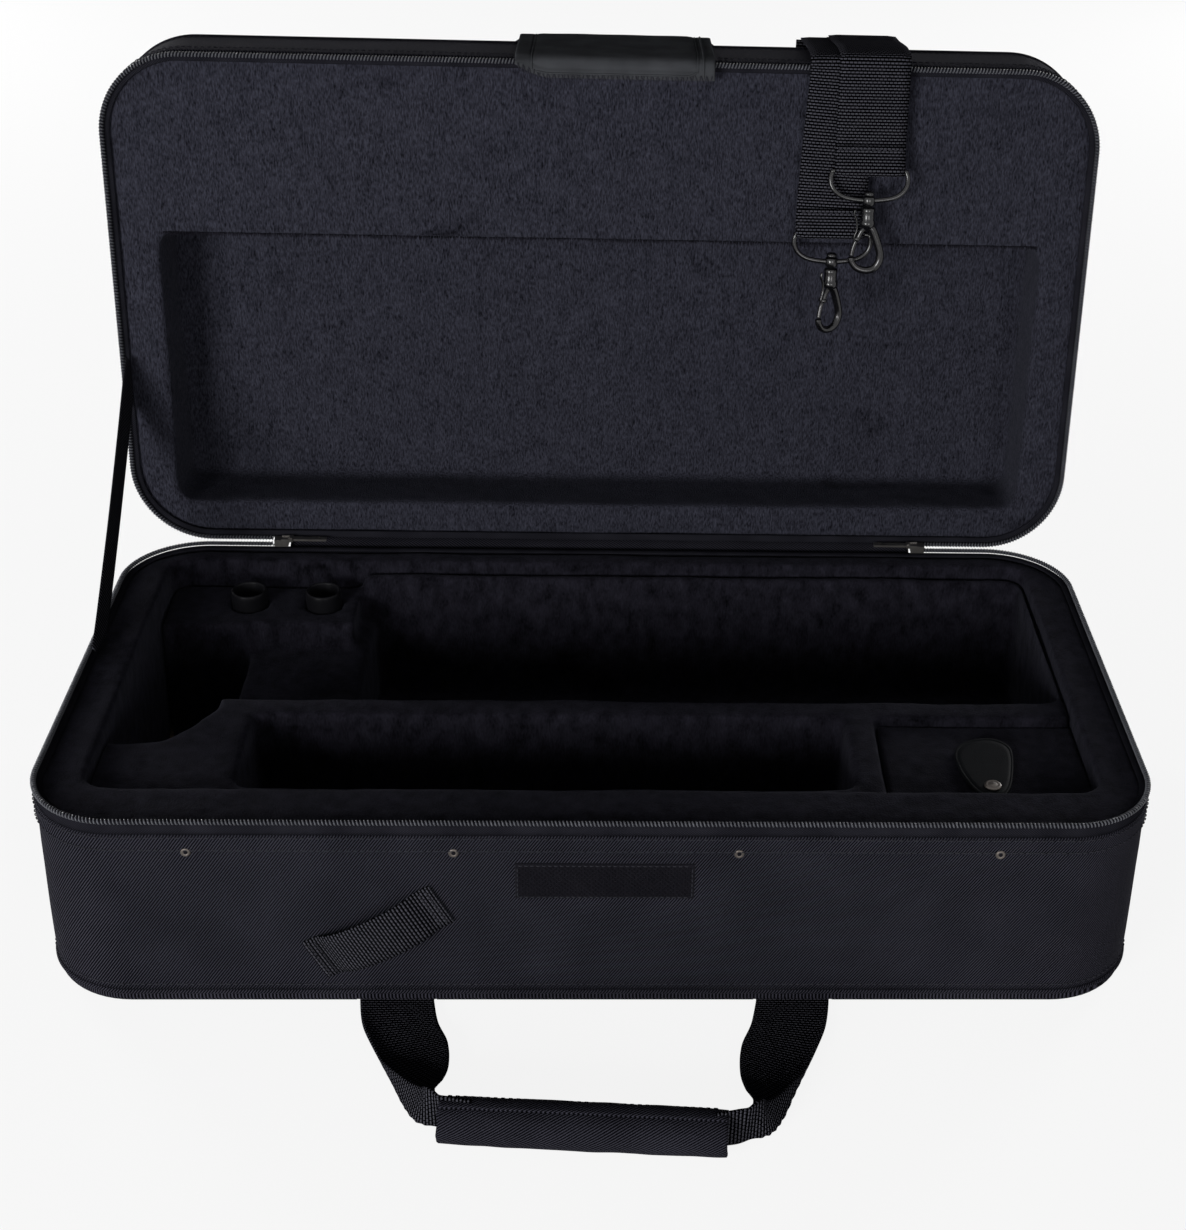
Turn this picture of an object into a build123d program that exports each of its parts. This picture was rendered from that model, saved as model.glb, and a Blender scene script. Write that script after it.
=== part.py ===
from build123d import *
import os
from math import cos, radians, sin

# Frame: X to the right, Y to the back, Z up, origin on the floor under the middle of the case.

# ------------------------------------------------------------------ main sizes, mm
CASE_W = 540.0            # left to right over the zipper
CASE_D = 280.0            # front to back over the zipper
CORNER_R = 45.0           # plan radius of the zipper line
RIM_Z = 106.0             # floor to the top edge of the base tape
LID_DEPTH = 60.0          # lid rim to the lid's outer face
OPEN_ANGLE = 94.0         # lid travel from shut to the photographed pose

# ------------------------------------------------------------------ walls
FIT = 0.05                # gap between neighbours of one body
PANEL_T = 6.2             # bottom and top panels, board under twill
PANEL_IN = 2.0
EDGE_R = 4.0              # rounded outer edge of the panels
PIPING_R = 1.6            # round cord under the welt
COVER_IN = 1.5            # twill face behind the zipper line
COVER_T = 2.0
SHELL_IN = 3.6
SHELL_T = 5.0             # hard board walls
FLOOR_T = 6.0
TAPE_H = 5.5              # zipper tape standing above the cover
TAPE_IN = 1.6
TAPE_T = 1.0
COIL_W = 3.0              # zipper coil, across and up
COIL_H = 3.0
COIL_GAP = 0.3
COIL_END_X = CASE_W / 2 - 80.0       # the coils stop here at the back
PULL_X = COIL_END_X - 9.8            # pin of each slider's pull
PULL_Z = RIM_Z + 4.2
PULL_L = 20.2
GUSSET_HALF = COIL_END_X - 8.5       # half length of the fabric hinge

# ------------------------------------------------------------------ plush lining of the base
PAD_TOP = 104.5
PAD_X = CASE_W / 2 - 24.0            # half width inside the rim padding
PAD_FRONT = CASE_D / 2 - 36.0
PAD_BACK = CASE_D / 2 - 15.0
INSERT_TOP = 98.0
MAIN_POCKET = (50.0 - PAD_X, PAD_X - 3.0, -12.0, PAD_BACK - 7.0, 22.0)       # x, x, y, y, floor
TRAY_POCKET = (70.0 - PAD_X, PAD_X - 120.0, 11.0 - PAD_FRONT, -29.0, 16.0)
SADDLE_X = 116.0 - PAD_X             # right end of the low step between the pockets
SADDLE_TOP = 72.0
HOLDER_BLOCK = (108.0 - PAD_X, PAD_BACK - 45.0, 88.0)                        # right edge, front edge, top
HOLDER_XS = (46.0 - PAD_X, 88.0 - PAD_X)
HOLDER_Y = PAD_BACK - 21.0
HOLDER_R = 10.0
HOLDER_BORE = 8.2
HOLDER_TOP = 96.0
HOLDER_LOW = 30.0

# ------------------------------------------------------------------ small compartment lid and tab
SMALL_X = (PAD_X - 103.5, PAD_X)
SMALL_Y = (-PAD_FRONT, -29.5)
SMALL_LID_T = 5.0
SMALL_LID_TOP = 93.0
TAB_X = PAD_X - 50.5
TAB_Y = 22.0 - PAD_FRONT             # the tab bends here, between rivet and free end
TAB_T = 1.8

# ------------------------------------------------------------------ lid lining
LID_PAD = 1.5             # lining face behind the lid rim
RECESS_X = CASE_W / 2 - 27.0
RECESS_V = (24.0 - CASE_D / 2, CASE_D / 2 - 99.0)
RECESS_DEPTH = 44.0

# ------------------------------------------------------------------ webbing, handles and straps
WEB_W = 37.0
WEB_T = 1.4
WEB_X = 97.0              # middle of each strap of the base handle
LID_WEB_X = 84.0          # middle of each strap of the lid handle
LID_FOLD_V = CASE_D / 2 - 40.0          # the lid handle swings on the upper end of its sewn straps
FLOOR_GAP = 0.3
HANDLE_HINGE_Y = CASE_D / 2 - 1.5
GRIP_R = 11.0
GRIP_L = 130.0
GRIP_Y = -HANDLE_HINGE_Y - 97.5
TAB_END_Y = 70.0 - CASE_D / 2        # inner end of the straps sewn under the base
WRAP_X = (-48.0, 58.0)
WRAP_T = 2.3
STRAP_W = 38.0
STRAP_XS = (125.5, 143.5)
STRAP_ENDS = (CASE_D / 2 - 90.5, CASE_D / 2 - 55.0)
STRAP_OVER = 3.4          # strap in front of the lid coil
STRAP_RISE = 1.7          # strap over the lid handle's straps
TAIL_L = 300.0
TAIL_BEND = 4.0
RING_W = 44.0
RING_H = 18.0
WIRE_R = 1.2
GATE_BOX = (Pos(-8, -26.5), (10, 10))          # cut out of the hook for its gate
HOOK_TURN = (40.0, 0.0)
SIDE_RING_Y = 20.5
SIDE_RING_Z = 60.5

# ------------------------------------------------------------------ derived
LID_RIM_Z = RIM_Z + 2 * COIL_H + COIL_GAP
HINGE_Y = CASE_D / 2 - 0.2
HINGE_Z = RIM_Z + 2.1
SHUT_LID = Pos(0, 0, LID_RIM_Z) * Rot(180, 0, 0)
OPEN_LID = Pos(0, HINGE_Y, HINGE_Z) * Rot(-OPEN_ANGLE, 0, 0) * Pos(0, -HINGE_Y, -HINGE_Z) * SHUT_LID
TO_BASE = Pos(0, 0, RIM_Z)
LEAN = OPEN_ANGLE - 90.0


# ------------------------------------------------------------------ helpers
def plan(inset):
    return RectangleRounded(CASE_W - 2 * inset, CASE_D - 2 * inset, CORNER_R - inset)


def slab(inset, low, high):
    return extrude(Pos(0, 0, low) * plan(inset), high - low)


def band(inset, wall, low, high):
    return slab(inset, low, high) - slab(inset + wall, low, high)


def block(x, y, z):
    size = Box(x[1] - x[0], y[1] - y[0], z[1] - z[0])
    return Pos((x[0] + x[1]) / 2, (y[0] + y[1]) / 2, (z[0] + z[1]) / 2) * size


def pocket(x, y, z, radius):
    outline = RectangleRounded(x[1] - x[0], y[1] - y[0], radius)
    return extrude(Pos((x[0] + x[1]) / 2, (y[0] + y[1]) / 2, z[0]) * outline, z[1] - z[0])


def side_plate(points, x0, x1):
    """A plate whose outline is drawn in Y and Z, from x0 to x1."""
    face = Plane.YZ.offset(x0) * make_face(Polyline(*points, close=True))
    return extrude(face, x1 - x0)


def save(name, shape):
    export_step(shape, "parts/" + name + ".step")


# ------------------------------------------------------------------ one tray: base or lid, rim at Z 0
def coil():
    return band(0, COIL_W, 0, COIL_H)


def tape():
    return band(TAPE_IN, TAPE_T, -TAPE_H, -FIT)


def cover(depth):
    return band(COVER_IN, COVER_T, -depth + PANEL_T + 2 * PIPING_R + 4 * FIT, -TAPE_H - FIT)


def panel(depth):
    body = slab(PANEL_IN, -depth, -depth + PANEL_T)
    return fillet(body.faces().sort_by(Axis.Z)[0].edges(), EDGE_R)


def piping(depth):
    inset = PANEL_IN
    level = -depth + PANEL_T + PIPING_R + 2 * FIT
    path = (Pos(0, 0, level) * plan(inset)).wire()
    section = Plane(origin=path @ 0, z_dir=path % 0) * Circle(PIPING_R)
    return sweep(section, path=path)


def shell(depth):
    low = -depth + PANEL_T + FIT
    inset = SHELL_IN + FIT
    outer = slab(inset, low, -TAPE_H - 3 * FIT)
    return outer - slab(inset + SHELL_T, low + FLOOR_T, 0)


def lining_block(depth, top, flange_low):
    """Plush block inside the shell, with a lip that covers the shell's edge."""
    inset = SHELL_IN + SHELL_T + 2 * FIT
    core = slab(inset, -depth + PANEL_T + FLOOR_T + 2 * FIT, flange_low)
    return core + slab(TAPE_IN + TAPE_T + FIT, flange_low, top)


# ------------------------------------------------------------------ base
def zipper_coil(hinge_side):
    back = sorted((hinge_side * (CASE_D / 2 - 40), hinge_side * (CASE_D / 2 + 10)))
    cut = block((-COIL_END_X, COIL_END_X), back, (-1, COIL_H + 1))
    return coil() - cut


def base_panel():
    body = TO_BASE * panel(RIM_Z)
    for x in (-WEB_X, WEB_X):
        groove = (x - WEB_W / 2 - 1, x + WEB_W / 2 + 1)
        body -= block(groove, (-CASE_D / 2, TAB_END_Y + 2), (-1, FLOOR_GAP + WEB_T + 0.3))
    return body


def rim_padding():
    body = TO_BASE * lining_block(RIM_Z, PAD_TOP - RIM_Z, -TAPE_H + FIT)
    hole = pocket((-PAD_X, PAD_X), (-PAD_FRONT, PAD_BACK), (0, RIM_Z + 5), 12)
    return body - hole


def flare_outline():
    right = MAIN_POCKET[0]
    side = -PAD_X + 1.5
    front = 47 - PAD_FRONT
    back = PAD_BACK - 47
    points = [(side, front), (side + 26.5, front + 4), (side + 37.5, front + 17), (right, front + 35),
              (right, back), (side, back)]
    return make_face(Polyline(*points, close=True))


def insert():
    low = PANEL_T + FLOOR_T + 3 * FIT
    body = pocket((-PAD_X + FIT, PAD_X - FIT), (-PAD_FRONT + FIT, PAD_BACK - FIT), (low, INSERT_TOP), 12)
    top = INSERT_TOP + 1
    x0, x1, y0, y1, floor = MAIN_POCKET
    block_x, block_y, block_top = HOLDER_BLOCK
    body -= extrude(Pos(0, 0, 15) * flare_outline(), top)
    body -= pocket((SADDLE_X, x1), (y0, y1), (floor, top), 8)
    body -= block((x0 - FIT, SADDLE_X + 9), (y0, block_y), (SADDLE_TOP, top))
    body -= block((block_x - FIT, SADDLE_X + 9), (block_y - 1, y1), (SADDLE_TOP, top))
    body -= block((-PAD_X, block_x), (block_y - 2, PAD_BACK), (block_top, top))
    body -= pocket(TRAY_POCKET[0:2], TRAY_POCKET[2:4], (TRAY_POCKET[4], top), 6)
    body -= block(SMALL_X, SMALL_Y, (SMALL_LID_TOP - SMALL_LID_T - FIT, top))
    body -= pocket((SMALL_X[0] + 5, SMALL_X[1] - 8), (SMALL_Y[0] + 6, SMALL_Y[1] - 6), (20, SMALL_LID_TOP), 5)
    for x in HOLDER_XS:
        body -= Pos(x, HOLDER_Y, (HOLDER_LOW + top) / 2) * Cylinder(HOLDER_R + FIT, top - HOLDER_LOW)
    return body


def holders():
    tubes = []
    low = HOLDER_LOW + FIT
    for x in HOLDER_XS:
        tube = Pos(0, 0, (low + HOLDER_TOP) / 2) * Cylinder(HOLDER_R, HOLDER_TOP - low)
        tube -= Pos(0, 0, (low + 3 + HOLDER_TOP) / 2) * Cylinder(HOLDER_BORE, HOLDER_TOP - low - 3)
        tubes.append(Pos(x, HOLDER_Y, 0) * tube)
    return Compound(tubes)


def front_rivets():
    heads = []
    face = -CASE_D / 2 + COVER_IN - FIT
    outer = CASE_W / 2 - 79
    for x in (-outer, -67, 67, outer):
        washer = Cylinder(4.6, 1.0)
        dome = Pos(0, 0, 1.0) * Cylinder(2.6, 1.2)
        heads.append(Pos(x, face - 0.5, RIM_Z - 15) * Rot(90, 0, 0) * (washer + dome))
    return Compound(heads)


def hook_patch():
    face = -CASE_D / 2 + COVER_IN - FIT
    return block((-38.5, 46.5), (face - 1.6, face), (RIM_Z - 41.5, RIM_Z - 21))


def front_loop():
    """Arched strap loop on the front wall, rising to the right."""
    half = 27.0
    rise = 7.0
    t = 1.6
    outer = ThreePointArc((-half, t), (0, rise + t), (half, t))
    inner = ThreePointArc((-half + 2, 0), (0, rise), (half - 2, 0))
    left = Polyline((-half, t), (-half - 8, t), (-half - 8, 0), (-half + 2, 0))
    right = Polyline((half, t), (half + 8, t), (half + 8, 0), (half - 2, 0))
    face = make_face([outer, inner, left, right])
    loop = Pos(0, 0, -12) * extrude(face, 24)
    wall = -CASE_D / 2 + COVER_IN - FIT
    return Pos(-104, wall, 45) * Rot(0, -29, 0) * Rot(0, 0, 180) * loop


def handle_tabs():
    ends = []
    low = FLOOR_GAP + 0.2
    for x in (-WEB_X, WEB_X):
        across = (x - WEB_W / 2, x + WEB_W / 2)
        ends.append(block(across, (1.5 - HANDLE_HINGE_Y, TAB_END_Y), (low, low + WEB_T)))
    return Compound(ends)


def ring_tabs():
    tabs = []
    wall = CASE_W / 2 - COVER_IN + FIT
    for side in (-1, 1):
        along = (SIDE_RING_Y - 12.5, SIDE_RING_Y + 12.5)
        patch = block((wall, wall + WEB_T), along, (SIDE_RING_Z + 1.5, SIDE_RING_Z + 31.5))
        loop = Rot(90, 0, 0) * (Cylinder(2.9, 23) - Cylinder(1.5, 26))
        tab = patch + Pos(wall + 2.9, SIDE_RING_Y, SIDE_RING_Z) * loop
        tabs.append(tab if side > 0 else mirror(tab, Plane.YZ))
    return Compound(tabs)


def d_ring(side):
    flat = Rot(90, 0, 0) * Cylinder(1.4, 30)
    bow = Rot(0, 90, 0) * (Cylinder(15, 2.8) - Cylinder(12.2, 3) - Pos(-10, 0, 0) * Box(20, 40, 4))
    wall = CASE_W / 2 - COVER_IN + FIT
    ring = Pos(wall + 2.9, SIDE_RING_Y, SIDE_RING_Z) * (flat + bow)
    return ring if side > 0 else mirror(ring, Plane.YZ)


def sliders():
    """Slider bodies, each with two cheeks and the pin that carries its pull."""
    bodies = []
    for side in (-1, 1):
        x = (COIL_END_X + GUSSET_HALF) / 2
        body = block((x - 3.9, x + 3.9), (HINGE_Y - 3.0, HINGE_Y + 2.6), (RIM_Z + 0.35, RIM_Z + 4.6))
        for y in (HINGE_Y - 3.0, HINGE_Y + 1.8):
            body += block((PULL_X - 0.9, x), (y, y + 0.8), (PULL_Z - 0.9, PULL_Z + 0.9))
        body += Pos(PULL_X, HINGE_Y - 0.2, PULL_Z) * Rot(90, 0, 0) * Cylinder(0.7, 5)
        bodies.append(body if side > 0 else mirror(body, Plane.YZ))
    return Compound(bodies)


def zipper_pull(side):
    end = PULL_X - PULL_L
    plate = block((end, PULL_X - 1), (HINGE_Y - 2.0, HINGE_Y + 1.6), (PULL_Z - 0.6, PULL_Z + 0.6))
    plate -= Pos(end + 4, HINGE_Y - 0.2, PULL_Z) * Cylinder(1.1, 4)
    knuckle = Rot(90, 0, 0) * (Cylinder(1.4, 3.6) - Cylinder(0.75, 4))
    plate += Pos(PULL_X, HINGE_Y - 0.2, PULL_Z) * knuckle
    return plate if side > 0 else mirror(plate, Plane.YZ)


def gusset():
    y = CASE_D / 2
    z = RIM_Z
    points = [(y - 0.9, z - 14), (y - 0.9, z - 4.5), (y + 3.6, z - 0.2), (y + 9, z + 1.1), (y + 26, z + 0.4)]
    face = Plane.YZ.offset(-GUSSET_HALF) * trace(Polyline(*points), 0.8)
    return extrude(face, 2 * GUSSET_HALF)


def lid_spot(v, w):
    """Y and Z in the case frame of a spot given in the lid's own frame."""
    spot = (OPEN_LID * Pos(0, v, w)).position
    return (spot.Y, spot.Z)


def stay_strap():
    lid_face = -LID_PAD + 0.1
    top = 121 - CASE_D / 2
    front = HINGE_Y - 132
    points = [lid_spot(top, lid_face), lid_spot(top - 41, lid_face)]
    points += [(front + 34, PAD_TOP + 0.1), (front, PAD_TOP + 0.1)]
    x = -CASE_W / 2 + 3.6
    return side_plate(points, x, x + WEB_T)


# ------------------------------------------------------------------ small lid and pull tab
def small_lid():
    gap = 0.6
    low = SMALL_LID_TOP - SMALL_LID_T
    board = block((SMALL_X[0] + gap, SMALL_X[1]), (SMALL_Y[0], SMALL_Y[1] - gap), (low, SMALL_LID_TOP))
    room = pocket((-PAD_X + gap, PAD_X - gap), (-PAD_FRONT + gap, PAD_BACK), (0, RIM_Z), 12 - gap)
    return board & room


def tab_outline():
    wide = Pos(TAB_X, TAB_Y + 26) * Circle(15.5)
    narrow = Pos(TAB_X, TAB_Y - 7) * Circle(8)
    return make_hull((wide + narrow).edges())


def tab_plate():
    return extrude(Pos(0, 0, SMALL_LID_TOP + FIT) * tab_outline(), TAB_T)


def tab_side(front, back):
    return block((TAB_X - 20, TAB_X + 20), (front, back), (SMALL_LID_TOP, SMALL_LID_TOP + 5))


def pull_tab():
    return tab_plate() - tab_side(TAB_Y - 30, TAB_Y + 0.3)


def tab_root():
    return tab_plate() - tab_side(TAB_Y, TAB_Y + 50)


def tab_rivet():
    return Pos(TAB_X, TAB_Y - 6, SMALL_LID_TOP + TAB_T + 2 * FIT + 0.8) * Cylinder(4.2, 1.6)


# ------------------------------------------------------------------ base handle
def handle_web(side):
    """Strap from the case edge to the grip: flat on the floor, then on edge at the grip."""
    t = WEB_T
    z = FLOOR_GAP + 0.2 + t / 2
    start = Plane(origin=(WEB_X, -HANDLE_HINGE_Y - 0.4, z), z_dir=(-0.05, -1, 0), x_dir=(1, 0, 0))
    half_way = GRIP_Y + 61
    middle = Plane(origin=(WEB_X - 5, half_way, z + 2.2), z_dir=(-0.2, -1, 0), x_dir=(1, -0.2, 0.12))
    end = Plane(origin=(WEB_X - 16, GRIP_Y + 22, 11), z_dir=(-0.55, -1, 0), x_dir=(0.6, -0.3, 1))
    grip = Plane(origin=(GRIP_L / 2 + 0.3, GRIP_Y, 11.3), z_dir=(-1, 0, 0), x_dir=(0, 0, 1))
    faces = [start * Rectangle(WEB_W, t), middle * Rectangle(34, t), end * Rectangle(20, t),
             grip * Rectangle(17, t)]
    web = loft(faces, ruled=True)
    return web if side > 0 else mirror(web, Plane.YZ)


def grip():
    tube = Rot(0, 90, 0) * Cylinder(GRIP_R, GRIP_L)
    return Pos(0, GRIP_Y, GRIP_R + FLOOR_GAP) * tube


# ------------------------------------------------------------------ lid fittings, drawn in the lid's frame
def lid_lining():
    body = lining_block(LID_DEPTH, -LID_PAD, -TAPE_H + FIT)
    return body - pocket((-RECESS_X, RECESS_X), RECESS_V, (-RECESS_DEPTH, 10), 8)


def lid_handle_tabs():
    ends = []
    high = -LID_DEPTH - FIT
    for x in (-LID_WEB_X, LID_WEB_X):
        across = (x - WEB_W / 2, x + WEB_W / 2)
        ends.append(block(across, (-TAB_END_Y, LID_FOLD_V - FIT), (high - WEB_T, high)))
    return Compound(ends)


def lid_handle_webs():
    """Free parts of the straps, slanting up the outer face to the ends of the wrap."""
    webs = []
    top = CASE_D / 2 + 0.3 - FIT
    for side, end in ((-1, WRAP_X[0]), (1, WRAP_X[1])):
        edge = side * (LID_WEB_X + WEB_W / 2)
        across = side * WEB_W
        points = [(edge, LID_FOLD_V), (edge - across, LID_FOLD_V), (end - across, top), (end, top)]
        face = make_face(Polyline(*points, close=True))
        webs.append(Pos(0, 0, -LID_DEPTH - FIT - WEB_T) * extrude(face, WEB_T))
    return Compound(webs)


def lid_wrap():
    v = CASE_D / 2 + 0.3
    return block(WRAP_X, (v, v + WRAP_T), (-LID_DEPTH - FIT - WEB_T, COIL_H + 0.4))


def wrap_flap():
    v = CASE_D / 2
    return block(WRAP_X, (v - 10, v + 0.3 + WRAP_T), (COIL_H + 1.2, COIL_H + 4.0))


def front_strap(index):
    """Strap over the lid's top wall and down its open face, ending in a loop round the ring."""
    lift = index * (WEB_T + 0.3)
    v = CASE_D / 2 + 0.3 + STRAP_RISE + lift
    w = STRAP_OVER + lift
    end = STRAP_ENDS[index]
    x = STRAP_XS[index]
    hole = WIRE_R + 0.08
    outer = hole + WEB_T
    back = -LID_DEPTH - 3.6
    points = [(v, back), (v, w), (end, w), (end, w + WEB_T), (v + WEB_T, w + WEB_T), (v + WEB_T, back)]
    body = side_plate(points, x - STRAP_W / 2, x + STRAP_W / 2)
    centre = Pos(x, end - 0.4, w + outer) * Rot(0, 90, 0)
    return body + centre * Cylinder(outer, STRAP_W) - centre * Cylinder(hole, STRAP_W + 1)


def ring_bar(index):
    lift = index * (WEB_T + 0.3)
    outer = WIRE_R + 0.08 + WEB_T
    return (STRAP_XS[index], STRAP_ENDS[index] - 0.4, STRAP_OVER + lift + outer)


def ring_tilt(index):
    return 15.0 * index


def wire_ring(index):
    """Flat oval ring with a collar for the swivel, hanging from its top bar."""
    inside = RING_W - 4 * WIRE_R
    low = -RING_H + 2 * WIRE_R
    outline = Pos(0, low / 2) * RectangleRounded(RING_W, RING_H, 8.5)
    outline += Pos(0, WIRE_R - 4.5) * RectangleRounded(RING_W, 9, 3)
    hole = Pos(0, low / 2) * RectangleRounded(inside, RING_H - 4 * WIRE_R, 6)
    hole += Pos(0, -WIRE_R - 3) * RectangleRounded(inside, 6, 0.6)
    ring = Pos(0, 0, -WIRE_R) * extrude(outline - hole, 2 * WIRE_R)
    ring -= block((-STRAP_W / 2 - 0.2, STRAP_W / 2 + 0.2), (-WIRE_R - 0.1, WIRE_R + 0.1), (-2, 2))
    ring += Rot(0, 90, 0) * Cylinder(WIRE_R, STRAP_W + 2)
    upright = Pos(0, low, 0) * Rot(90 + ring_tilt(index), 0, 0)
    return ring + upright * Cylinder(3.4, 5) - upright * Cylinder(1.6, 8)


def place_ring(index):
    x, v, w = ring_bar(index)
    return Pos(x, v, w) * Rot(-ring_tilt(index), 0, 0)


def hook_place(index):
    """The swivel's middle, where the hook's post goes through the ring's collar."""
    low = RING_H - 2 * WIRE_R
    x, v, w = ring_bar(index)
    tilt = radians(ring_tilt(index))
    return Pos(x, v - low * cos(tilt), w + low * sin(tilt))


def hook_ring():
    outer = make_hull((Pos(0, -31) * Circle(9.2) + Pos(0, -15) * Circle(3)).edges())
    inner = make_hull((Pos(0, -31) * Circle(6.4) + Pos(0, -21) * Circle(1.8)).edges())
    return outer - inner


def hook():
    post = Pos(0, -3, 0) * Rot(90, 0, 0) * Cylinder(1.5, 19)
    head = Pos(0, 3.9, 0) * Rot(90, 0, 0) * Cylinder(2.8, 2)
    collar = Pos(0, -10, 0) * Rot(90, 0, 0) * Cylinder(3.4, 9)
    spot, size = GATE_BOX
    body = Pos(0, 0, -2) * extrude(hook_ring() - spot * Rectangle(*size), 4)
    return post + head + collar + body


def gate():
    spot, size = GATE_BOX
    bar = hook_ring() & (spot * Pos(0, -0.3) * Rectangle(size[0], size[1] - 2))
    return Pos(0, 0, -1.6) * extrude(bar, 3.2)


def hook_frame(index):
    return hook_place(index) * Rot(0, HOOK_TURN[index], 0)


# ------------------------------------------------------------------ strap tail behind the lid
def tail_frame():
    v = CASE_D / 2 + 0.3
    return Pos(0, v + STRAP_RISE - 0.4, -LID_DEPTH - 2.2) * Rot(LEAN, 0, 0)


def strap_tail():
    """Two runs of the strap that hang behind the lid and meet in a bend."""
    x0, x1 = STRAP_XS
    mid = (x0 + x1) / 2
    half = STRAP_W / 2
    back = -WEB_T - 2 * TAIL_BEND
    runs = []
    for x, level in ((x0, -WEB_T), (x1, back - WEB_T)):
        points = [(x - half, 0), (x + half, 0), (mid + half, -TAIL_L), (mid - half, -TAIL_L)]
        face = make_face(Polyline(*points, close=True))
        runs.append(Pos(0, 0, level) * extrude(face, WEB_T))
    bend = Cylinder(TAIL_BEND + WEB_T, STRAP_W) - Cylinder(TAIL_BEND, STRAP_W)
    bend -= Pos(-20, 0, 0) * Box(40, 60, STRAP_W + 2)
    bend = Pos(mid, -TAIL_L, -WEB_T - TAIL_BEND) * Rot(0, 0, -90) * Rot(90, 0, 0) * bend
    bridge = block((x1 - half, x0 + half), (-4, 0), (back - 0.1, -WEB_T + 0.1))
    return runs[0] + runs[1] + bend + bridge


def adjuster():
    """Flat buckle on the inner run."""
    x0, _ = STRAP_XS
    frame = Box(STRAP_W + 9, 26, 2.4)
    for y in (-6.5, 6.5):
        frame -= Pos(0, y, 0) * Box(STRAP_W + 2, 8, 4)
    return Pos(x0 + 3, -100, -WEB_T - FIT - 1.2) * frame


# ------------------------------------------------------------------ write the files
os.makedirs("parts", exist_ok=True)

save("base_panel", base_panel())
save("base_piping", TO_BASE * piping(RIM_Z))
save("base_cover", TO_BASE * cover(RIM_Z))
save("base_shell", TO_BASE * shell(RIM_Z))
save("base_zip_tape", TO_BASE * tape())
save("base_zip_coil", TO_BASE * zipper_coil(1))
save("base_rim_padding", rim_padding())
save("base_insert", insert())
save("mouthpiece_holders", holders())
save("front_rivets", front_rivets())
save("hook_loop_patch", hook_patch())
save("front_loop", front_loop())
save("handle_tabs", handle_tabs())
save("ring_tabs", ring_tabs())
save("zip_sliders", sliders())
save("hinge_gusset", gusset())
save("stay_strap", stay_strap())
save("small_lid", small_lid())
save("tab_root", tab_root())
save("tab_rivet", tab_rivet())
save("pull_tab", pull_tab())
save("handle_grip", grip())
save("lid_panel", OPEN_LID * panel(LID_DEPTH))
save("lid_piping", OPEN_LID * piping(LID_DEPTH))
save("lid_cover", OPEN_LID * cover(LID_DEPTH))
save("lid_shell", OPEN_LID * shell(LID_DEPTH))
save("lid_zip_tape", OPEN_LID * tape())
save("lid_zip_coil", OPEN_LID * zipper_coil(-1))
save("lid_lining", OPEN_LID * lid_lining())
save("lid_handle_tabs", OPEN_LID * lid_handle_tabs())
save("lid_handle_webs", OPEN_LID * lid_handle_webs())
save("lid_handle_wrap", OPEN_LID * lid_wrap())
save("wrap_flap", OPEN_LID * wrap_flap())
save("strap_tail", OPEN_LID * tail_frame() * strap_tail())
save("strap_adjuster", OPEN_LID * tail_frame() * adjuster())

for side, word in ((-1, "left"), (1, "right")):
    index = (side + 1) // 2
    save("handle_web_" + word, handle_web(side))
    save("zip_pull_" + word, zipper_pull(side))
    save("d_ring_" + word, d_ring(side))
    save("strap_" + word, OPEN_LID * front_strap(index))
    save("ring_" + word, OPEN_LID * place_ring(index) * wire_ring(index))
    save("hook_" + word, OPEN_LID * hook_frame(index) * hook())
    save("gate_" + word, OPEN_LID * hook_frame(index) * gate())
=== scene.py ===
import random
from math import ceil, cos, pi, radians, sin, sqrt

import bmesh
import bpy
from mathutils import Matrix, Vector, noise


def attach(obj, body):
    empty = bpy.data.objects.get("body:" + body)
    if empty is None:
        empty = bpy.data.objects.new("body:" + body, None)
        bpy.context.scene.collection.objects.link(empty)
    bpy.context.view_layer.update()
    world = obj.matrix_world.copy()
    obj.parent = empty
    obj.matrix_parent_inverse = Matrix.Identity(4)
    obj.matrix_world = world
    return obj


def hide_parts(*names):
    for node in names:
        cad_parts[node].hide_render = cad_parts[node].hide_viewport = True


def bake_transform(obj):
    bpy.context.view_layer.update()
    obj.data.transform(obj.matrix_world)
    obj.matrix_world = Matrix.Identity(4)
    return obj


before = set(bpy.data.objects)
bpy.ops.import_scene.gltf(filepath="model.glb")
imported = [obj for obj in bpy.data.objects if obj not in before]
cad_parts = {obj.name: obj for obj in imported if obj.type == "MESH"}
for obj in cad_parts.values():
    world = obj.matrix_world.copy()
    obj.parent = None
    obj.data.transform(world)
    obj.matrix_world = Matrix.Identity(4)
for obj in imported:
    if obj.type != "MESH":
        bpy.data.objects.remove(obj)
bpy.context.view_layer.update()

# Sizes in metres. The frame is the solids' frame: X right, Y back, Z up.
CASE_W, CASE_D, CORNER_R = 0.540, 0.280, 0.045
RIM_Z = 0.106                         # the base's rim over the floor
LID_RIM_Z = 0.1123                    # the shut lid's rim over the floor
LID_DEPTH = 0.060
LID_FACE = -0.0609                    # webbing on the lid's outer face, from the lid's rim
HINGE = Vector((0, 0.1398, 0.1081))
OPEN_ANGLE = radians(94)
FACE_IN = 0.00145                     # the wall cloth's face, inside the case outline
COIL_END_X = 0.190                    # the zipper's ends, from the middle of the back
TOOTH_PITCH = 0.00177
STRAP_W, STRAP_T = 0.038, 0.0014      # shoulder strap
HANDLE_W = 0.037                      # straps of both handles
BAR_IN, BAR_UP = 0.0004, 0.00268      # the ring's bar, from the strap's end and its under face
RING_LOW = 0.0156                     # the ring's lowest point, from its bar
WAVE = 0.314                          # a wave texture's scale times the pitch of its bands

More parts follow.
